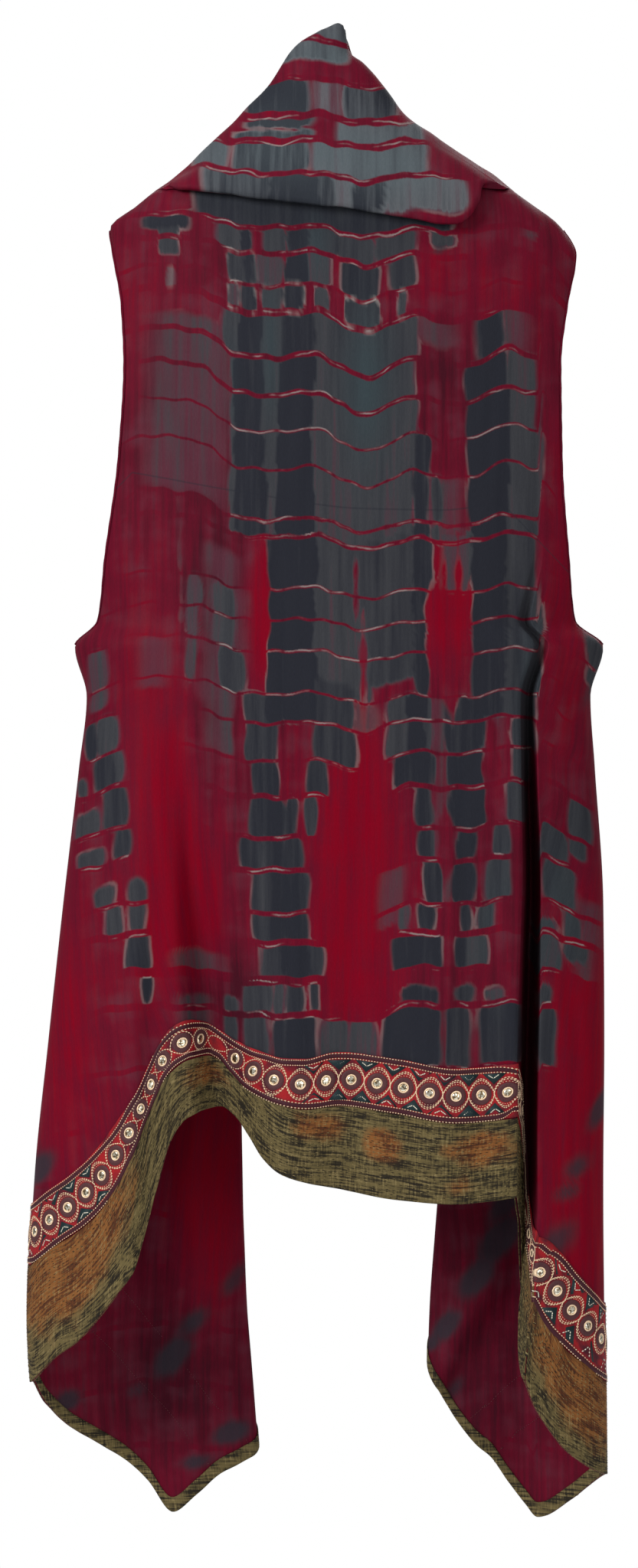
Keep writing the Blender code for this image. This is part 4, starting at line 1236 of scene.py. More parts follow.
def orange_field(points, share):
    """How strongly each place of the border is dyed orange: a soft bell about each block."""
    amount = np.zeros(share.shape)
    behind = np.where(points[..., 1] < 0, -1, 1)
    for block in BORDER_BLOCKS:
        across = (points[..., 0] - block.x) / block.across
        up = (share - block.share) / block.up
        amount = np.maximum(amount, block.amount * np.exp(-(across**2) - up**2) * (behind == block.side))
    return amount


def add_band(name, edges_of, rows):
    """A band's cloth between the same heights as its solid has, with s and t as its UV map."""
    columns = sheet_columns(*BAND_COLUMNS)
    trim, border, hem = hem_heights(columns)
    top, low = edges_of(trim, border, hem, BAND_SEAM * slant_of(columns, border))
    keep = top - low > LEAST_CLOTH
    columns, top, low = columns[keep], top[keep], low[keep]
    share = np.linspace(0, 1, rows)[:, None]
    z = top + (low - top) * share
    c = np.broadcast_to(columns, z.shape)
    points, normals = creased_grid(c, z)
    mid = points[rows // 2]
    s = running(np.linalg.norm(np.diff(mid, axis=0), axis=1))
    across = (z - z[rows // 2]) * np.gradient(plan_lengths(c, z)[rows // 2], s)
    uv = np.stack([np.broadcast_to(s, z.shape), across], -1)
    fields = {"orange": orange_field(points, np.broadcast_to(1 - share, z.shape))}
    cloth = shell(name, points, normals, BAND_LIFT, BAND, uv, fields)
    return cloth, s[-1] * MILLIMETRE, sheet_area(points)


def slant_of(columns, height):
    """How many times longer a vertical gap is than one square to a slanting line."""
    line = surface(columns, height)
    run = running(np.linalg.norm(np.diff(line[:, :2], axis=0), axis=1))
    return np.minimum(np.hypot(1, np.gradient(height, run)), MOST_SLANT)


def repeat_shape(points, faces):
    """Lay a set of like shapes out as one mesh: points is (shapes, points, 3)."""
    shapes, size = points.shape[:2]
    every = faces[None] + np.arange(shapes)[:, None, None] * size
    return points.reshape(-1, 3), every.reshape(-1, faces.shape[1])


LOZENGE = np.array(
    [[0, 2, 1], [0, 3, 2], [0, 4, 3], [0, 1, 4], [5, 1, 2], [5, 2, 3], [5, 3, 4], [5, 4, 1]], np.int32
)


def stitches(band, s, t, ahead, stitch):
    """Short raised stitches: a lozenge about each centre (s, t), pointing along ahead = (ds, dt)."""
    ahead = ahead / np.linalg.norm(ahead, axis=-1, keepdims=True)
    side = np.stack([-ahead[:, 1], ahead[:, 0]], -1)
    long, wide, high = stitch.length / 2, stitch.width / 2, stitch.height
    corners = []
    for a, b, rise in (
        (-long, 0, 0), (0, -wide, 0), (0, 0, high), (0, wide, 0), (0, 0, -high * 0.3), (long, 0, 0)
    ):
        at_s = s + a * ahead[:, 0] + b * side[:, 0]
        at_t = t + a * ahead[:, 1] + b * side[:, 1]
        corners.append(band.place(at_s, at_t, stitch.lift + rise))
    return np.stack(corners, axis=1)


def stitch_line(band, s, t, stitch):
    """Stitches along a line given as s and t, one every pitch of its length, where the band covers them."""
    run = running(np.hypot(np.diff(s), np.diff(t)))
    at = np.arange(stitch.pitch / 2, run[-1], stitch.pitch)
    here, there = np.interp(at, run, s), np.interp(at, run, t)
    ahead = np.stack([np.interp(at + 0.5, run, s) - here, np.interp(at + 0.5, run, t) - there], -1)
    ahead[np.abs(ahead).sum(-1) < 1e-9] = (1, 0)
    on = band.covers(here, there)
    return stitches(band, here[on], there[on], ahead[on], stitch)


# The trim's work, in millimetres.
ROUNDEL_PITCH = 24.5
MIRROR_RADIUS = 3.7
RIM_RADIUS = 5.0
RING_RADIUS = 9.6
ROUNDEL_ROOM = RING_RADIUS + 3
ARC_ROOM = RING_RADIUS + 6
ARC_RADIUS = 10.9
ARC_GAP = 0.42
OUTLINE_REACH = 14.6
OUTLINE_POWER = 0.62
OUTLINE_PAIR = 1.6
OUTLINE_INSET = 6.5
EDGE_INSETS = (0.9, 5.6)
TRIANGLE_ROOM = 22
TRIANGLE_HALF = 10.6
TRIANGLE_TIP = 8.5
TRIANGLE_INSET = 6.2
CHEVRON_HALF = 4.6
CHEVRON_TIP = 14.0
CHEVRON_INSET = 8.0
CORD_INSET = 3.2
CORD_HALF = 2.2
CORD_HEIGHT = 0.95
SEAM_INSET = 1.2
STITCH_ROWS = 30
STITCH_SPREAD = 0.97
MISSED_STITCHES = 0.08
WORK_LIFT = 1.75

# One stitch: its pitch along a line, its length, width, lift off the silk's middle and raised height.
Stitch = namedtuple("Stitch", "pitch length width lift height")
OUTLINE_STITCH = Stitch(2.7, 2.8, 1.45, WORK_LIFT, 0.7)
EDGE_STITCH = Stitch(2.6, 2.2, 1.3, WORK_LIFT + 0.3, 0.6)
ARC_STITCH = Stitch(2.6, 1.7, 0.8, WORK_LIFT, 0.5)
CHEVRON_STITCH = Stitch(0, 2.8, 1.2, WORK_LIFT + 0.3, 0.45)
SEAM_STITCH = Stitch(2.8, 2.0, 0.5, -SILK / 2 - 0.25, -0.2)
RUNNING_STITCH = Stitch(6.2, 3.9, 0.75, BAND_LIFT + 0.35, 0.4)


def roundel_centres(band):
    """Middles of the roundels along the trim."""
    count = int(band.length // ROUNDEL_PITCH)
    return (band.length - count * ROUNDEL_PITCH) / 2 + ROUNDEL_PITCH * (np.arange(count) + 0.5)


def roomy(band, centres, reach):
    """Those of the centres where half the band's width is more than the reach."""
    return centres[band.half_at(centres) > reach]


def triangle_centres(band):
    """Middles of the triangles, halfway between the roundels."""
    centres = roundel_centres(band)
    return roomy(band, (centres[1:] + centres[:-1]) / 2, TRIANGLE_ROOM)


def add_roundels(band, name, radii, lifts, count, ribs=0.0):
    """A disc or ring about each roundel's centre: rows of radius and lift, count points round, ribbed."""
    centres = roomy(band, roundel_centres(band), ROUNDEL_ROOM)
    angle = 2 * np.pi * np.arange(count) / count
    ribbed = 1 + ribs * np.where(np.arange(count) % 2 == 0, 1, -1)
    s = centres[:, None, None] + radii[None, :, None] * np.cos(angle)
    t = np.broadcast_to(radii[None, :, None] * np.sin(angle), s.shape)
    base = lifts[0]
    lift = base + (lifts[None, :, None] - base) * ribbed
    points = band.place(s, t, np.broadcast_to(lift, s.shape)).reshape(len(centres), -1, 3)
    row, step = np.meshgrid(np.arange(len(radii) - 1), np.arange(count), indexing="ij")
    first = (row * count + step).ravel()
    beside = (row * count + (step + 1) % count).ravel()
    faces = np.stack([first, beside, beside + count, first + count], 1)
    return add_mesh(name, *repeat_shape(points, faces))


def half_round(inner, outer, spill, foot, height, rows):
    """Radii and lifts of a half round laid in a ring, a little wider than from inner to outer radius."""
    turn = np.linspace(0, np.pi, rows)
    half = (outer - inner) / 2 + spill
    return (inner + outer) / 2 - half * np.cos(turn)[::-1], WORK_LIFT - foot + height * np.sin(turn)


def add_mirrors(band):
    """Small domed glass discs: rows from the rim up to the middle."""
    radii = np.array([MIRROR_RADIUS, MIRROR_RADIUS * 0.96, MIRROR_RADIUS * 0.6, 0.02])
    lifts = WORK_LIFT + np.array([-0.2, 0.45, 0.6, 0.65])
    return add_roundels(band, "trim_mirrors", radii, lifts, 16)


def add_rims(band):
    """The gold thread round each mirror: a half round laid in a ring, ribbed by its stitches."""
    radii, lifts = half_round(MIRROR_RADIUS, RIM_RADIUS, 0.15, 0.2, 1.15, 5)
    return add_roundels(band, "trim_mirror_rims", radii, lifts, 28, 0.12)


def add_rings(band):
    """The buttonhole ring of each roundel: a padded ring whose stitches run out from the mirror."""
    radii, lifts = half_round(RIM_RADIUS, RING_RADIUS, 0.2, 0.3, 0.95, 6)
    return add_roundels(band, "trim_rings", radii, lifts, 56, 0.10)


def add_gold_thread(band):
    """Couched metal thread: crossing waves about the roundels and lines along both edges."""
    s = np.arange(0, band.length, 0.5)
    centres = roundel_centres(band)
    phase = np.pi * (s - centres[0]) / ROUNDEL_PITCH + np.pi / 2
    half = band.half_at(s)
    shapes = []
    for side in (-1, 1):
        wave = np.sin(phase)
        t = side * np.sign(wave) * np.abs(wave) ** OUTLINE_POWER
        for reach in (OUTLINE_REACH, OUTLINE_REACH - OUTLINE_PAIR):
            shapes.append(stitch_line(band, s, t * np.minimum(reach, half - OUTLINE_INSET), OUTLINE_STITCH))
        for inset in EDGE_INSETS:
            shapes.append(stitch_line(band, s, side * (half - inset), EDGE_STITCH))
    for side in (-1, 1):
        angle = np.linspace(ARC_GAP, np.pi - ARC_GAP, 9) * side
        for centre in roomy(band, centres, ARC_ROOM):
            arc_s, arc_t = centre + ARC_RADIUS * np.cos(angle), ARC_RADIUS * np.sin(angle)
            shapes.append(stitch_line(band, arc_s, arc_t, ARC_STITCH))
    return add_mesh("trim_gold_thread", *repeat_shape(np.concatenate(shapes), LOZENGE))


def add_triangles(band):
    """Teal triangles between the roundels, each flat, with its point to the band's middle."""
    between = triangle_centres(band)
    shapes = []
    for side in (-1, 1):
        edge = side * (band.half_at(between) - TRIANGLE_INSET)
        corners = [(-TRIANGLE_HALF, edge), (TRIANGLE_HALF, edge), (0, side * TRIANGLE_TIP)]
        for height in (WORK_LIFT - 0.35, WORK_LIFT + 0.15):
            shapes.append([band.place(between + ds, t, height) for ds, t in corners])
    faces = np.array([[3, 4, 5], [0, 1, 4], [0, 4, 3], [1, 2, 5], [1, 5, 4], [2, 0, 3], [2, 3, 5]], np.int32)
    points = np.concatenate([np.stack(shapes[0] + shapes[1], 1), np.stack(shapes[2] + shapes[3], 1)])
    return add_mesh("trim_triangles", *repeat_shape(points, faces))


def add_pale_chevrons(band):
    """A pale stitched V in each triangle."""
    between = triangle_centres(band)
    shapes = []
    for side in (-1, 1):
        edge = side * (band.half_at(between) - CHEVRON_INSET)
        rise = side * CHEVRON_TIP - edge
        for way in (-1, 1):
            ahead = np.stack([np.full(len(between), -way * CHEVRON_HALF), rise], -1)
            for share in (0.15, 0.45, 0.75):
                here = between + way * CHEVRON_HALF * (1 - share)
                shapes.append(stitches(band, here, edge + rise * share, ahead, CHEVRON_STITCH))
    return add_mesh("trim_chevrons", *repeat_shape(np.concatenate(shapes), LOZENGE))


def add_edge_cords(band):
    """The wine-red cord along each edge: a low half round carried along the band."""
    s = np.arange(1.0, band.length - 1.0, 2.0)
    half = band.half_at(s)
    across = np.linspace(-1, 1, 6)
    shapes = []
    for side in (-1, 1):
        t = side * (half - CORD_INSET)[:, None] + CORD_HALF * across
        lift = WORK_LIFT - 0.45 + CORD_HEIGHT * np.sqrt(1 - across**2) + 0 * t
        shapes.append(band.place(s[:, None] + 0 * t, t, lift))
    count = len(s)
    row, step = np.meshgrid(np.arange(count - 1), np.arange(len(across) - 1), indexing="ij")
    first = (row * len(across) + step).ravel()
    faces = np.stack([first, first + len(across), first + len(across) + 1, first + 1], 1)
    points = np.stack([shape.reshape(-1, 3) for shape in shapes])
    return add_mesh("trim_edge_cords", *repeat_shape(points, faces))


def add_seam_stitch(band, name):
    """The sewing that shows on the wrong side: one fine line under each edge of a band."""
    s = np.arange(0, band.length, 1.0)
    inset = band.half_at(s) - SEAM_INSET
    shapes = [stitch_line(band, s, side * inset, SEAM_STITCH) for side in (-1, 1)]
    return add_mesh(name, *repeat_shape(np.concatenate(shapes), LOZENGE))


def add_running_stitch(band):
    """Rows of running stitch on the border, each row its own way along and a little uneven."""
    chance = np.random.default_rng(7)
    s = np.arange(0, band.length, 1.0)
    half = band.half_at(s)
    shapes = []
    for row in range(STITCH_ROWS):
        share = -STITCH_SPREAD + 2 * STITCH_SPREAD * row / (STITCH_ROWS - 1)
        t = share * half + 0.5 * np.sin(s / 23 + 2.7 * row) + 0.3 * np.sin(s / 7.1 + row)
        found = stitch_line(band, s + RUNNING_STITCH.pitch / 2 * (row % 2), t, RUNNING_STITCH)
        shapes.append(found[chance.random(len(found)) > MISSED_STITCHES])
    every = np.concatenate(shapes)
    points, faces = repeat_shape(every, LOZENGE)
    shade = np.repeat(chance.random(len(every)), every.shape[1])
    return add_mesh("border_running_stitch", points, faces, None, {"shade": shade})


class Number:
    """A number socket: Python's operators on it add Math nodes."""

    def __init__(self, graph, socket):
        self.graph, self.socket = graph, socket

    def maths(self, operation, *others):
        values = {index: value for index, value in enumerate((self, *others))}
        return self.graph.number("ShaderNodeMath", {"operation": operation}, values)

    def __add__(self, other):
        return self.maths("ADD", other)

    def __sub__(self, other):
        return self.maths("SUBTRACT", other)

    def __mul__(self, other):
        return self.maths("MULTIPLY", other)

    def __truediv__(self, other):
        return self.maths("DIVIDE", other)

    def __rsub__(self, other):
        return self.maths("MULTIPLY", -1) + other

    def __rtruediv__(self, other):
        return self.maths("POWER", -1) * other

    __radd__, __rmul__ = __add__, __mul__

    def clipped(self):
        return self.maths("MAXIMUM", 0).maths("MINIMUM", 1)

    def eased(self, low, high):
        """0 below low and 1 above high, smooth between."""
        settings = {"interpolation_type": "SMOOTHSTEP"}
        inputs = {"Value": self, "From Min": low, "From Max": high}
        return self.graph.number("ShaderNodeMapRange", settings, inputs)


class Graph:
    """A new material's nodes, made through one method."""

    def __init__(self, name):
        self.material = bpy.data.materials.new(name)
        self.material.use_nodes = True
        self.tree = self.material.node_tree
        self.tree.nodes.clear()

    def node(self, kind, settings=None, inputs=None):
        """Add a node. Its settings come first, a ramp's stops among them, then its sockets."""
        node = self.tree.nodes.new(kind)
        for key, value in (settings or {}).items():
            if key == "stops":
                self.set_stops(node.color_ramp, value)
            else:
                setattr(node, key, value)
        for key, value in (inputs or {}).items():
            socket = node.inputs[key]
            source = value.socket if isinstance(value, Number) else value
            if isinstance(source, bpy.types.NodeSocket):
                self.tree.links.new(source, socket)
            else:
                socket.default_value = source
        return node

    def set_stops(self, ramp, stops):
        while len(ramp.elements) < len(stops):
            ramp.elements.new(0.5)
        for element, (place, colour) in zip(ramp.elements, stops):
            element.position, element.color = place, (*colour, 1)

    def number(self, kind, settings=None, inputs=None, output=0):
        return Number(self, self.node(kind, settings, inputs).outputs[output])

    def attribute(self, name):
        return self.number("ShaderNodeAttribute", {"attribute_name": name}, output="Fac")

    def cloth_place(self):
        return self.node("ShaderNodeUVMap", {"uv_map": "cloth"}).outputs["UV"]

    def object_place(self):
        return self.node("ShaderNodeTexCoord").outputs["Object"]

    def parts(self, vector):
        found = self.node("ShaderNodeSeparateXYZ", None, {"Vector": vector})
        return [Number(self, found.outputs[i]) for i in range(3)]

    def stretched(self, vector, scale):
        return self.node("ShaderNodeVectorMath", {"operation": "MULTIPLY"}, {0: vector, 1: scale}).outputs[0]

    def noise(self, vector, scale, detail=2.0, rough=0.5):
        inputs = {"Vector": self.stretched(vector, scale), "Scale": 1.0, "Detail": detail, "Roughness": rough}
        return self.number("ShaderNodeTexNoise", {"noise_dimensions": "3D"}, inputs)

    def mixed(self, share, first, second, blend="MIX"):
        settings = {"data_type": "RGBA", "blend_type": blend}
        return self.node("ShaderNodeMix", settings, {0: share, 6: first, 7: second}).outputs[2]

    def ramp(self, share, stops):
        return self.node("ShaderNodeValToRGB", {"stops": stops}, {"Fac": share}).outputs["Color"]

    def bump(self, height, strength, distance):
        inputs = {"Height": height, "Strength": strength, "Distance": distance}
        return self.node("ShaderNodeBump", None, inputs).outputs["Normal"]

    def finish(self, inputs):
        """The surface: one Principled shader with these sockets."""
        shader = self.node("ShaderNodeBsdfPrincipled", None, inputs)
        self.node("ShaderNodeOutputMaterial", None, {"Surface": shader.outputs["BSDF"]})
        return self.material


def rgb(colour):
    """A colour property as a socket's value."""
    return (*colour, 1)


def silk_material(colours, name="dyed_silk", dyed=True, slates=None):
    """Silk whose resist dye goes from bright red to charcoal, with upright streaks and pale rung edges."""
    graph = Graph(name)
    place = graph.cloth_place()
    streak = graph.noise(place, (230, 12, 1), 4, 0.6)
    brush = graph.noise(place, (95, 6, 1), 2, 0.5)
    broad = graph.noise(place, (16, 8, 1), 3, 0.55)
    cloud = graph.noise(place, (24, 34, 1), 2, 0.5)
    fine = graph.noise(place, (1500, 240, 1), 2)
    glow = graph.attribute("glow") if dyed else 0.3
    dye = (broad * 0.5 + streak * 0.9 + brush * 0.5 + cloud * 0.4 + glow * 0.8 - 1.10).clipped()
    colour = graph.ramp(dye, [(0.0, colours.wine), (0.45, colours.carmine), (0.95, colours.crimson)])
    if dyed:
        slates = slates or (colours.slate, colours.teal_silk)
        colour = dye_ladder(graph, colours, colour, (streak, brush, broad, cloud), slates)
    weave = graph.ramp(fine, [(0.3, (0.84, 0.84, 0.84)), (0.7, (1.0, 1.0, 1.0))])
    colour = graph.mixed(0.8, colour, weave, "MULTIPLY")
    rough = 0.48 + streak * 0.16
    normal = graph.bump(fine * 0.5 + streak + brush, 0.30, 0.0008)
    sockets = {"Base Color": colour, "Roughness": rough, "Normal": normal, "Specular IOR Level": 0.025}
    return graph.finish(sockets)


def dye_ladder(graph, colours, red, noises, slates):
    """Lay the dark dye over the red, parted by rungs with a broken pale line along one side of each. Then
    paint shade along the pressed crease and inside the deep fold.
    """
    streak, brush, broad, cloud = noises
    lines = graph.noise(graph.cloth_place(), (70, 4, 1), 1)
    away = (graph.attribute("rung") + 0.5).maths("FRACT") - 0.5
    gap = away / graph.attribute("pitch")
    half = graph.attribute("half") * (0.6 + cloud * 0.9)
    edge = gap.maths("ABSOLUTE") - half + (streak - 0.5) * 1.4
    cell = edge.eased(-0.4, 1.2)
    tone = graph.attribute("tone")
    depth = tone.eased(0.35, 0.6)
    cover = (graph.attribute("cover") * (0.58 + streak * 0.5 + brush * 0.36)).clipped()
    margin = (1 - cover.eased(0.3, 0.85)) * depth * 0.35
    shade = (tone - margin + (streak - 0.5) * 0.55 + (brush - 0.5) * 0.5 + (lines - 0.5) * 0.4).clipped()
    slate = graph.ramp(shade, [(0.22, colours.plum_silk), (0.50, slates[0]), (0.95, colours.charcoal)])
    slate = graph.mixed(graph.attribute("teal") * (1 - shade.eased(0.6, 0.95) * 0.6), slate, rgb(slates[1]))
    dull = 1 - graph.attribute("glow").eased(0.5, 0.85)
    veil = (cloud * 0.6 + brush * 0.4).eased(0.45, 0.72) * cell * dull
    red = graph.mixed(veil * 0.55, red, rgb(colours.plum_silk))
    colour = graph.mixed(cover.eased(0.10, 0.66) * cell, red, slate)
    side = ((broad - 0.5) * 7).maths("MAXIMUM", -1).maths("MINIMUM", 1)
    line = 1 - (gap - side * half + (streak - 0.5)).maths("ABSOLUTE").eased(0.25, 1.25)
    pale = line * depth * cover.eased(0.35, 0.6) * (cloud + brush * 0.4).eased(0.62, 0.86)
    pale = (pale * 0.75 + graph.attribute("outline") * 0.6 * brush.eased(0.35, 0.6)).clipped()
    rim = cover.eased(0.12, 0.32) * (1 - cover.eased(0.36, 0.58)) * depth * cell
    rim = rim * broad.eased(0.48, 0.62) * 0.3
    colour = graph.mixed((rim + pale).clipped(), colour, rgb(colours.pale))
    smear = (graph.attribute("smudge") * (0.7 + cloud) + (brush - 0.5) * 0.25).eased(0.12, 0.7)
    colour = graph.mixed(smear * 0.85, colour, rgb(colours.smudge))
    # Painted shade along the pressed crease: a charcoal line where the shape has no fold.
    press = 1 - graph.attribute("press").maths("ABSOLUTE").eased(0.2, 1.3)
    colour = graph.mixed(press * 0.45, colour, rgb(colours.charcoal))
    # Painted shade: the deep fold's inside is mixed towards near-black in place of its shadow.
    return graph.mixed(graph.attribute("fold") * 0.8, colour, rgb(colours.soot))


def ground_material(colours):
    """The trim's red ground: fine cloth with darker wear."""
    graph = Graph("trim_ground")
    place = graph.cloth_place()
    weave = graph.noise(place, (900, 900, 1), 2)
    worn = graph.noise(place, (60, 90, 1), 3)
    colour = graph.mixed(worn.eased(0.35, 0.7), rgb(colours.trim_red), rgb(colours.wine))
    normal = graph.bump(weave, 0.5, 0.0006)
    sockets = {"Base Color": colour, "Roughness": 0.62, "Normal": normal, "Specular IOR Level": 0.15}
    return graph.finish(sockets)


def border_material(colours):
    """The border's weave: pale and dark threads both ways over olive, with blocks dyed orange."""
    graph = Graph("border_weave")
    place = graph.cloth_place()
    wander = graph.noise(place, (60, 60, 1), 2)
    thread = graph.noise(place, (30, 520, 1), 2, 0.7)
    slub = graph.noise(place, (560, 60, 1), 2, 0.7)
    patch = graph.noise(place, (45, 130, 1), 1)
    orange = (graph.attribute("orange") + (wander - 0.5) * 0.7 + (thread - 0.5) * 0.4).eased(0.25, 0.85) * 0.9
    light = graph.mixed(orange, rgb(colours.olive), rgb(colours.orange))
    dark = graph.mixed(orange, rgb(colours.bark), rgb(colours.rust))
    weave = (thread * 0.8 + slub * 0.4 + patch * 0.5 - 0.34).eased(0.38, 0.58)
    colour = graph.mixed(weave, dark, light)
    colour = graph.mixed((slub * 0.6 + thread * 0.6).eased(0.64, 0.78) * 0.7, colour, rgb(colours.straw))
    normal = graph.bump(thread + slub * 0.6, 0.6, 0.0009)
    sockets = {"Base Color": colour, "Roughness": 0.8, "Normal": normal, "Specular IOR Level": 0.1}
    return graph.finish(sockets)


def thread_material(name, colour, metallic, rough):
    """Plain or metal thread, with a twist that catches the light."""
    graph = Graph(name)
    twist = graph.noise(graph.object_place(), (1800, 1800, 1800), 2)
    dark = [value * 0.55 for value in colour]
    shade = graph.mixed(twist.eased(0.35, 0.65), rgb(dark), rgb(colour))
    normal = graph.bump(twist, 0.4, 0.0004)
    sockets = {"Base Color": shade, "Metallic": metallic, "Roughness": rough, "Normal": normal}
    sockets["Specular IOR Level"] = 0.2
    return graph.finish(sockets)


def running_stitch_material(colours):
    """Running stitch in straw, olive and dark threads."""
    graph = Graph("running_stitch")
    stops = [(0.0, colours.bark), (0.5, colours.bark), (0.62, colours.olive), (0.9, colours.straw)]
    colour = graph.ramp(graph.attribute("shade"), stops)
    return graph.finish({"Base Color": colour, "Roughness": 0.75, "Specular IOR Level": 0.15})


def mirror_material(colours):
    """Old mirror glass: silvered, a little gold, with dull spots."""
    graph = Graph("mirror_glass")
    spots = graph.noise(graph.object_place(), (520, 520, 520), 3)
    tint = graph.mixed(spots.eased(0.46, 0.56), rgb(colours.silver), rgb(colours.tarnish))
    rough = 0.10 + spots * 0.25
    return graph.finish({"Base Color": tint, "Metallic": 1.0, "Roughness": rough})


def add_hem_turning(name):
    """The border's turned edge on the wrong side, just above the hem."""
    columns = sheet_columns(*TURNING_COLUMNS)
    _, _, hem = hem_heights(columns)
    top = hem + TURNING_HEIGHT
    z = top + (hem - top) * np.linspace(0, 1, TURNING_ROWS)[:, None]
    c = np.broadcast_to(columns, z.shape)
    points, normals = creased_grid(c, z)
    uv = np.stack([plan_lengths(c, z), z], -1)
    return shell(name, points, normals, TURNING_LIFT, SILK, uv), sheet_area(points)


def add_front_turning(name, edge, way):
    """The turned edge down one front, ten millimetres wide on the wrong side."""
    _, _, hem = hem_heights(np.array([edge]))
    z = np.linspace(FRONT_TURNING_TOP, hem[0] + TURNING_HEIGHT + 6, FRONT_TURNING_ROWS)[:, None]
    width = TURNING_WIDTH / section_at(z).fall
    share = np.linspace(0, 1, TURNING_ROWS)[None, :]
    c = edge + way * width * (share if way > 0 else 1 - share)
    c, z = np.broadcast_arrays(c, z)
    points, normals = creased_grid(c, z)
    uv = np.stack([plan_lengths(c, z), z], -1)
    return shell(name, points, normals, TURNING_LIFT, SILK, uv), sheet_area(points)


def add_armhole_hem(name, seam):
    """The rolled edge of one armhole: a round hem carried along the back's and the front's edges."""
    z = np.linspace(ARMHOLE_TOP - ROLL_END, ARMHOLE_FOOT + ROLL_END, ROLL_STEPS)
    runs = []
    for step in ((ROLL_STEP, -ROLL_STEP) if seam == LEFT_SEAM else (-ROLL_STEP, ROLL_STEP)):
        edge = surface(np.full_like(z, seam + step * 1e-4), z)
        ahead = surface(np.full_like(z, seam + step), z) - edge
        runs.append(edge - unit(ahead) * ROLL_REACH)
    path = np.concatenate([runs[0], runs[1][::-1]])
    along = unit(np.roll(path, -1, axis=0) - np.roll(path, 1, axis=0))
    sideways = unit(np.array([1.0, 0.0, 0.0]) - along * along[:, :1])
    other = np.cross(along, sideways)
    angle = 2 * np.pi * np.arange(ROLL_SIDES) / ROLL_SIDES
    roll = ROLL_RADIUS + ROLL_UNEVEN * np.sin(np.arange(len(path)) * 0.9)[:, None, None]
    ring = np.cos(angle)[:, None] * sideways[:, None] + np.sin(angle)[:, None] * other[:, None]
    points = path[:, None] + roll * ring
    index = np.arange(len(path) * ROLL_SIDES).reshape(len(path), ROLL_SIDES)
    beside, ahead = np.roll(index, -1, axis=1), np.roll(index, -1, axis=0)
    across = np.roll(beside, -1, axis=0)
    faces = np.stack([each.ravel() for each in (index, beside, across, ahead)], 1)
    if seam == RIGHT_SEAM:
        faces = faces[:, ::-1]
    round_it = np.broadcast_to(ROLL_SIDES * angle, index.shape)
    uv = np.stack([round_it, points[..., 2]], -1).reshape(-1, 2)
    return add_mesh(name, points.reshape(-1, 3), faces, uv)


class VestColours(PropertyGroup):
    """Colours of the vest's cloths and threads."""

    def colour(name, description, default):
        return FloatVectorProperty(
            name=name, description=description, default=default, subtype="COLOR", size=3, min=0, max=1
        )

    crimson: colour("Crimson", "Brightest silk", (0.155, 0.0, 0.008))
    carmine: colour("Carmine", "Most of the silk", (0.096, 0.003, 0.013))
    wine: colour("Wine", "Darker silk", (0.042, 0.004, 0.010))
    plum_silk: colour("Plum silk", "Faint dark dye over red", (0.068, 0.022, 0.034))
    pale: colour("Pale line", "Undyed silk beside a rung", (0.200, 0.180, 0.172))
    slate: colour("Slate", "Half-taken dark dye", (0.034, 0.035, 0.040))
    teal_silk: colour("Teal silk", "Slate that turned teal", (0.027, 0.040, 0.046))
    collar_slate: colour("Collar slate", "Slate of the collar", (0.084, 0.086, 0.094))
    collar_teal: colour("Collar teal", "Teal of the collar", (0.058, 0.076, 0.084))
    smudge: colour("Smudge", "Soft smudges of the dark dye", (0.020, 0.020, 0.027))
    # Painted shade: the colour the deep fold's inside is darkened to, standing in for its shadow.
    soot: colour("Soot", "Deep inside the fold", (0.016, 0.003, 0.005))
    charcoal: colour("Charcoal", "Fully taken dark dye", (0.015, 0.016, 0.022))
    trim_red: colour("Trim red", "Ground of the mirror trim", (0.24, 0.005, 0.008))
    plum: colour("Plum", "Buttonhole rings", (0.072, 0.022, 0.025))
    teal: colour("Teal", "Triangles of the trim", (0.006, 0.020, 0.023))
    gold: colour("Gold", "Metal thread", (0.90, 0.66, 0.44))
    silver: colour("Silver", "Mirror glass", (0.80, 0.76, 0.62))
    tarnish: colour("Tarnish", "Dull spots of the mirrors", (0.20, 0.14, 0.075))
    seam: colour("Seam thread", "Sewing on the wrong side", (0.16, 0.045, 0.055))
    olive: colour("Olive", "Border weave", (0.092, 0.070, 0.028))
    bark: colour("Bark", "Dark border threads", (0.014, 0.011, 0.007))
    orange: colour("Orange", "Dyed blocks of the border", (0.165, 0.060, 0.015))
    rust: colour("Rust", "Darker dyed blocks", (0.060, 0.019, 0.008))
    straw: colour("Straw", "Pale border threads", (0.19, 0.145, 0.065))


class VestStage(PropertyGroup):
    """Where the camera, the lights and the floor are."""

    camera_distance: FloatProperty(name="Camera distance", default=5.0, unit="LENGTH")
    view_height: FloatProperty(name="View height", default=1.4684, unit="LENGTH")
    middle_x: FloatProperty(name="Middle across", default=-0.0168, unit="LENGTH")
    middle_z: FloatProperty(name="Middle height", default=-0.519, unit="LENGTH")
    floor_z: FloatProperty(name="Floor height", default=-1.55, unit="LENGTH")
    floor_radius: FloatProperty(name="Floor radius", default=1.9, unit="LENGTH")


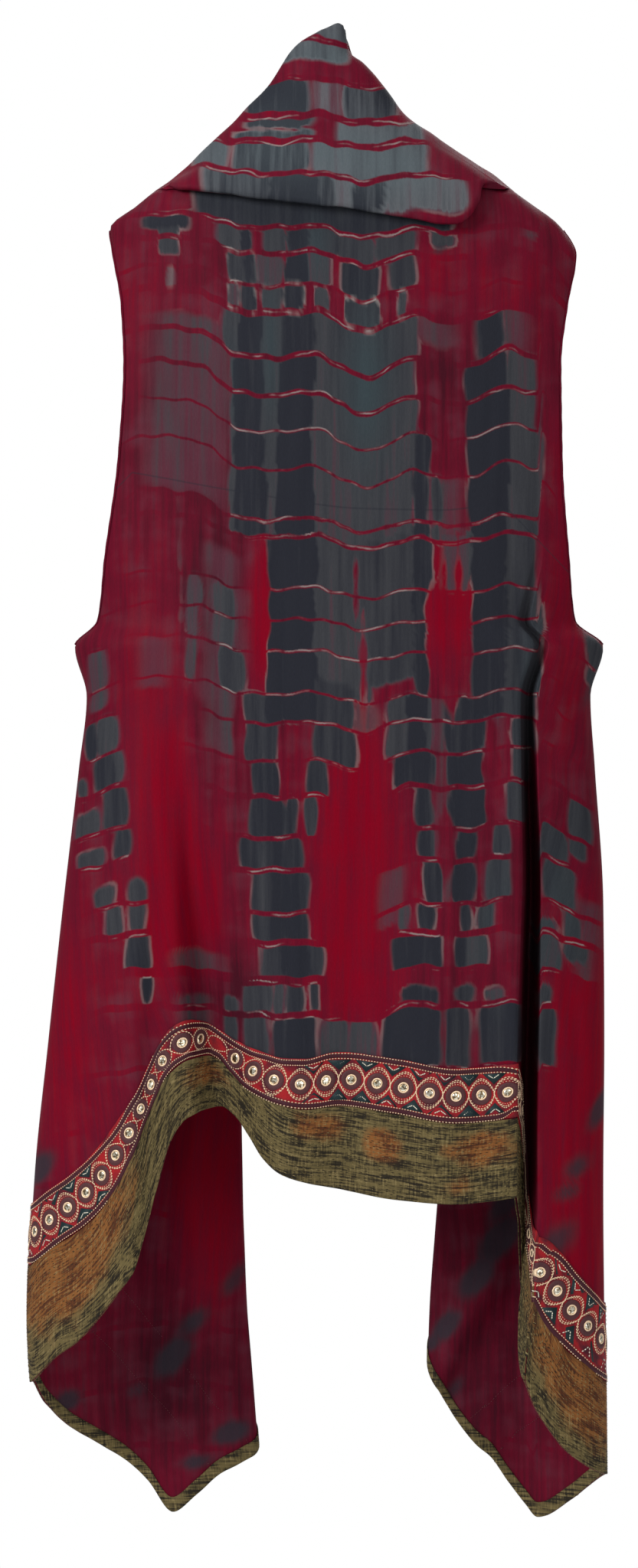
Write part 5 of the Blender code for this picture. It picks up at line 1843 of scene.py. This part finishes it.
class VEST_OT_silk(Operator):
    """Make the back and the two fronts of dyed silk."""

    bl_idname = "vest.silk"
    bl_label = "Silk panels"

    def execute(self, context):
        silk = silk_material(context.scene.vest_colours)
        columns = {
            "back": back_columns(150, 34, 34),
            "left_front": front_columns(True, 34, 16, 110),
            "right_front": front_columns(False, 34, 16, 110),
        }
        nodes = {"back": "back_panel", "left_front": "left_front", "right_front": "right_front"}
        charts = {
            "back": (BACK_AREAS, BACK_FLAMES, BACK_GLOWS, BACK_SMUDGES),
            "left_front": (LEFT_AREAS, (), FRONT_GLOWS, FRONT_SMUDGES),
            "right_front": (RIGHT_AREAS, (), FRONT_GLOWS, FRONT_SMUDGES),
        }
        for panel in PANELS:
            obj, area = add_panel(panel, columns[panel.name], *charts[panel.name])
            finish_piece(obj, silk, "silk", nodes[panel.name])
        return {"FINISHED"}


class VEST_OT_collar(Operator):
    """Make the collar that stands at the nape and rolls over at the back neck."""

    bl_idname = "vest.collar"
    bl_label = "Collar"

    def execute(self, context):
        colours = context.scene.vest_colours
        obj, area = add_collar()
        slates = (colours.collar_slate, colours.collar_teal)
        finish_piece(obj, silk_material(colours, "collar_dye", True, slates), "collar_silk", "collar")
        return {"FINISHED"}


class VEST_OT_trim(Operator):
    """Make the mirror trim: its ground, roundels, metal thread, triangles and cords."""

    bl_idname = "vest.trim"
    bl_label = "Mirror trim"

    def execute(self, context):
        colours = context.scene.vest_colours
        ground, length, area = add_band("trim_ground", trim_edges, 16)
        finish_piece(ground, ground_material(colours), "mirror_trim", "mirror_trim")
        band = Band(TRIM_INSET, trim_edges)
        gold = thread_material("metal_thread", colours.gold, 0.35, 0.4)
        plum = thread_material("plum_thread", colours.plum, 0.0, 0.6)
        teal = thread_material("teal_thread", colours.teal, 0.0, 0.55)
        wine = thread_material("wine_thread", colours.wine, 0.0, 0.6)
        pale = thread_material("pale_thread", colours.silver, 0.3, 0.5)
        seam = thread_material("seam_thread", colours.seam, 0.0, 0.6)
        pieces = [
            (add_mirrors(band), mirror_material(colours)),
            (add_rims(band), gold),
            (add_rings(band), plum),
            (add_gold_thread(band), gold),
            (add_triangles(band), teal),
            (add_pale_chevrons(band), pale),
            (add_edge_cords(band), wine),
            (add_seam_stitch(band, "trim_seam_stitch"), seam),
        ]
        for obj, material in pieces:
            finish_piece(obj, material, "mirror_trim")
        return {"FINISHED"}


class VEST_OT_border(Operator):
    """Make the woven border with its rows of running stitch."""

    bl_idname = "vest.border"
    bl_label = "Woven border"

    def execute(self, context):
        colours = context.scene.vest_colours
        obj, length, area = add_band("border_cloth", border_edges, 24)
        finish_piece(obj, border_material(colours), "woven_border", "woven_border")
        stitching = add_running_stitch(Band(BORDER_INSET, border_edges))
        finish_piece(stitching, running_stitch_material(colours), "woven_border")
        return {"FINISHED"}


class VEST_OT_edges(Operator):
    """Make the hem's and the front edges' turnings and the rolled armhole hems."""

    bl_idname = "vest.edges"
    bl_label = "Turned and rolled edges"

    def execute(self, context):
        colours = context.scene.vest_colours
        weave = border_material(colours)
        turned = silk_material(colours, "turned_silk", dyed=False)
        hem, area = add_hem_turning("hem_turning_cloth")
        finish_piece(hem, weave, "woven_border", "hem_turning")
        for name, edge, way in (("left", 0.0, 1), ("right", float(SHEET_END), -1)):
            obj, area = add_front_turning("front_edge_" + name, edge, way)
            finish_piece(obj, turned, "silk", "front_turning_" + name)
        for name, seam in (("left", LEFT_SEAM), ("right", RIGHT_SEAM)):
            obj = add_armhole_hem("armhole_roll_" + name, seam)
            finish_piece(obj, turned, "silk", "armhole_hem_" + name)
        return {"FINISHED"}


class VEST_OT_stage(Operator):
    """Make the pale round floor, the soft lights and the camera."""

    bl_idname = "vest.stage"
    bl_label = "Stage"

    def execute(self, context):
        stage = context.scene.vest_stage
        add_floor(stage)
        add_lights(stage)
        add_camera(context, stage)
        return {"FINISHED"}


def add_floor(stage):
    """A round pale floor under the vest, with nothing upright, so that every side can be seen."""
    step = np.arange(FLOOR_SIDES)
    angle = 2 * np.pi * step / FLOOR_SIDES
    rim = stage.floor_radius * np.stack([np.cos(angle), np.sin(angle), 0 * angle], -1)
    points = np.concatenate([np.zeros((1, 3)), rim]) + (0, 0, stage.floor_z)
    faces = np.stack([np.zeros_like(step), 1 + step, 1 + (step + 1) % FLOOR_SIDES], 1)
    floor = add_mesh("floor", points / MILLIMETRE, faces)
    graph = Graph("floor_paint")
    grain = graph.noise(graph.object_place(), (3, 3, 3), 3)
    shade = graph.ramp(grain, [(0.3, (0.88, 0.88, 0.88)), (0.7, (0.92, 0.92, 0.92))])
    floor.data.materials.append(graph.finish({"Base Color": shade, "Roughness": 0.9}))


def add_lights(stage):
    """Broad soft lights about the vest, and an even world that is white where the camera sees it."""
    aim = Vector((stage.middle_x, 0, stage.middle_z))
    for name, place, size, power in (
        ("key", (-3.0, -3.0, 1.5), 1.8, 202),
        ("fill", (2.8, -3.8, 0.2), 2.6, 62),
        ("top", (0.0, -0.6, 3.0), 2.4, 50),
        ("behind", (0.6, 2.8, 1.6), 2.6, 70),
    ):
        light = bpy.data.lights.new(name, "AREA")
        light.energy, light.size = power, size
        obj = bpy.data.objects.new(name, light)
        obj.location = place
        obj.rotation_euler = (aim - Vector(place)).to_track_quat("-Z", "Y").to_euler()
        bpy.context.scene.collection.objects.link(obj)
    world = bpy.data.worlds.new("studio")
    world.use_nodes = True
    background = world.node_tree.nodes["Background"]
    background.inputs["Color"].default_value = (1, 1, 1, 1)
    seen = world.node_tree.nodes.new("ShaderNodeLightPath")
    strength = world.node_tree.nodes.new("ShaderNodeMath")
    strength.operation = "MULTIPLY_ADD"
    strength.inputs[1].default_value = 1 - WORLD_LIGHT
    strength.inputs[2].default_value = WORLD_LIGHT
    world.node_tree.links.new(seen.outputs["Is Camera Ray"], strength.inputs[0])
    world.node_tree.links.new(strength.outputs[0], background.inputs["Strength"])
    bpy.context.scene.world = world
    bpy.context.scene.view_settings.view_transform = "Standard"


def add_camera(context, stage):
    """A level camera behind the vest, with the photograph's height of view."""
    camera = bpy.data.cameras.new("camera")
    camera.sensor_fit = "VERTICAL"
    camera.sensor_height = SENSOR_HEIGHT
    camera.lens = SENSOR_HEIGHT * stage.camera_distance / stage.view_height
    camera.clip_end = 100
    obj = bpy.data.objects.new("camera", camera)
    obj.location = (stage.middle_x, -stage.camera_distance, stage.middle_z)
    obj.rotation_euler = (np.pi / 2, 0, 0)
    context.scene.collection.objects.link(obj)
    context.scene.camera = obj


class VEST_PT_panel(Panel):
    """The vest's settings and pieces."""

    bl_idname = "VEST_PT_panel"
    bl_label = "Draped silk vest"
    bl_space_type = "VIEW_3D"
    bl_region_type = "UI"
    bl_category = "Vest"

    def draw(self, context):
        for settings in (context.scene.vest_colours, context.scene.vest_stage):
            box = self.layout.box()
            for name in settings.__annotations__:
                box.prop(settings, name)
        for operator in PIECES:
            self.layout.operator(operator.bl_idname)


PIECES = (VEST_OT_silk, VEST_OT_collar, VEST_OT_trim, VEST_OT_border, VEST_OT_edges, VEST_OT_stage)
SETTINGS = {"vest_colours": VestColours, "vest_stage": VestStage}


def register():
    for group in (*SETTINGS.values(), *PIECES, VEST_PT_panel):
        bpy.utils.register_class(group)
    for name, group in SETTINGS.items():
        setattr(bpy.types.Scene, name, PointerProperty(type=group))


def unregister():
    for name in SETTINGS:
        delattr(bpy.types.Scene, name)
    for group in (VEST_PT_panel, *reversed(PIECES), *SETTINGS.values()):
        bpy.utils.unregister_class(group)


def main():
    register()
    bpy.ops.vest.silk()
    bpy.ops.vest.collar()
    bpy.ops.vest.trim()
    bpy.ops.vest.border()
    bpy.ops.vest.edges()
    bpy.ops.vest.stage()
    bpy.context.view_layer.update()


if __name__ == "__main__":
    main()
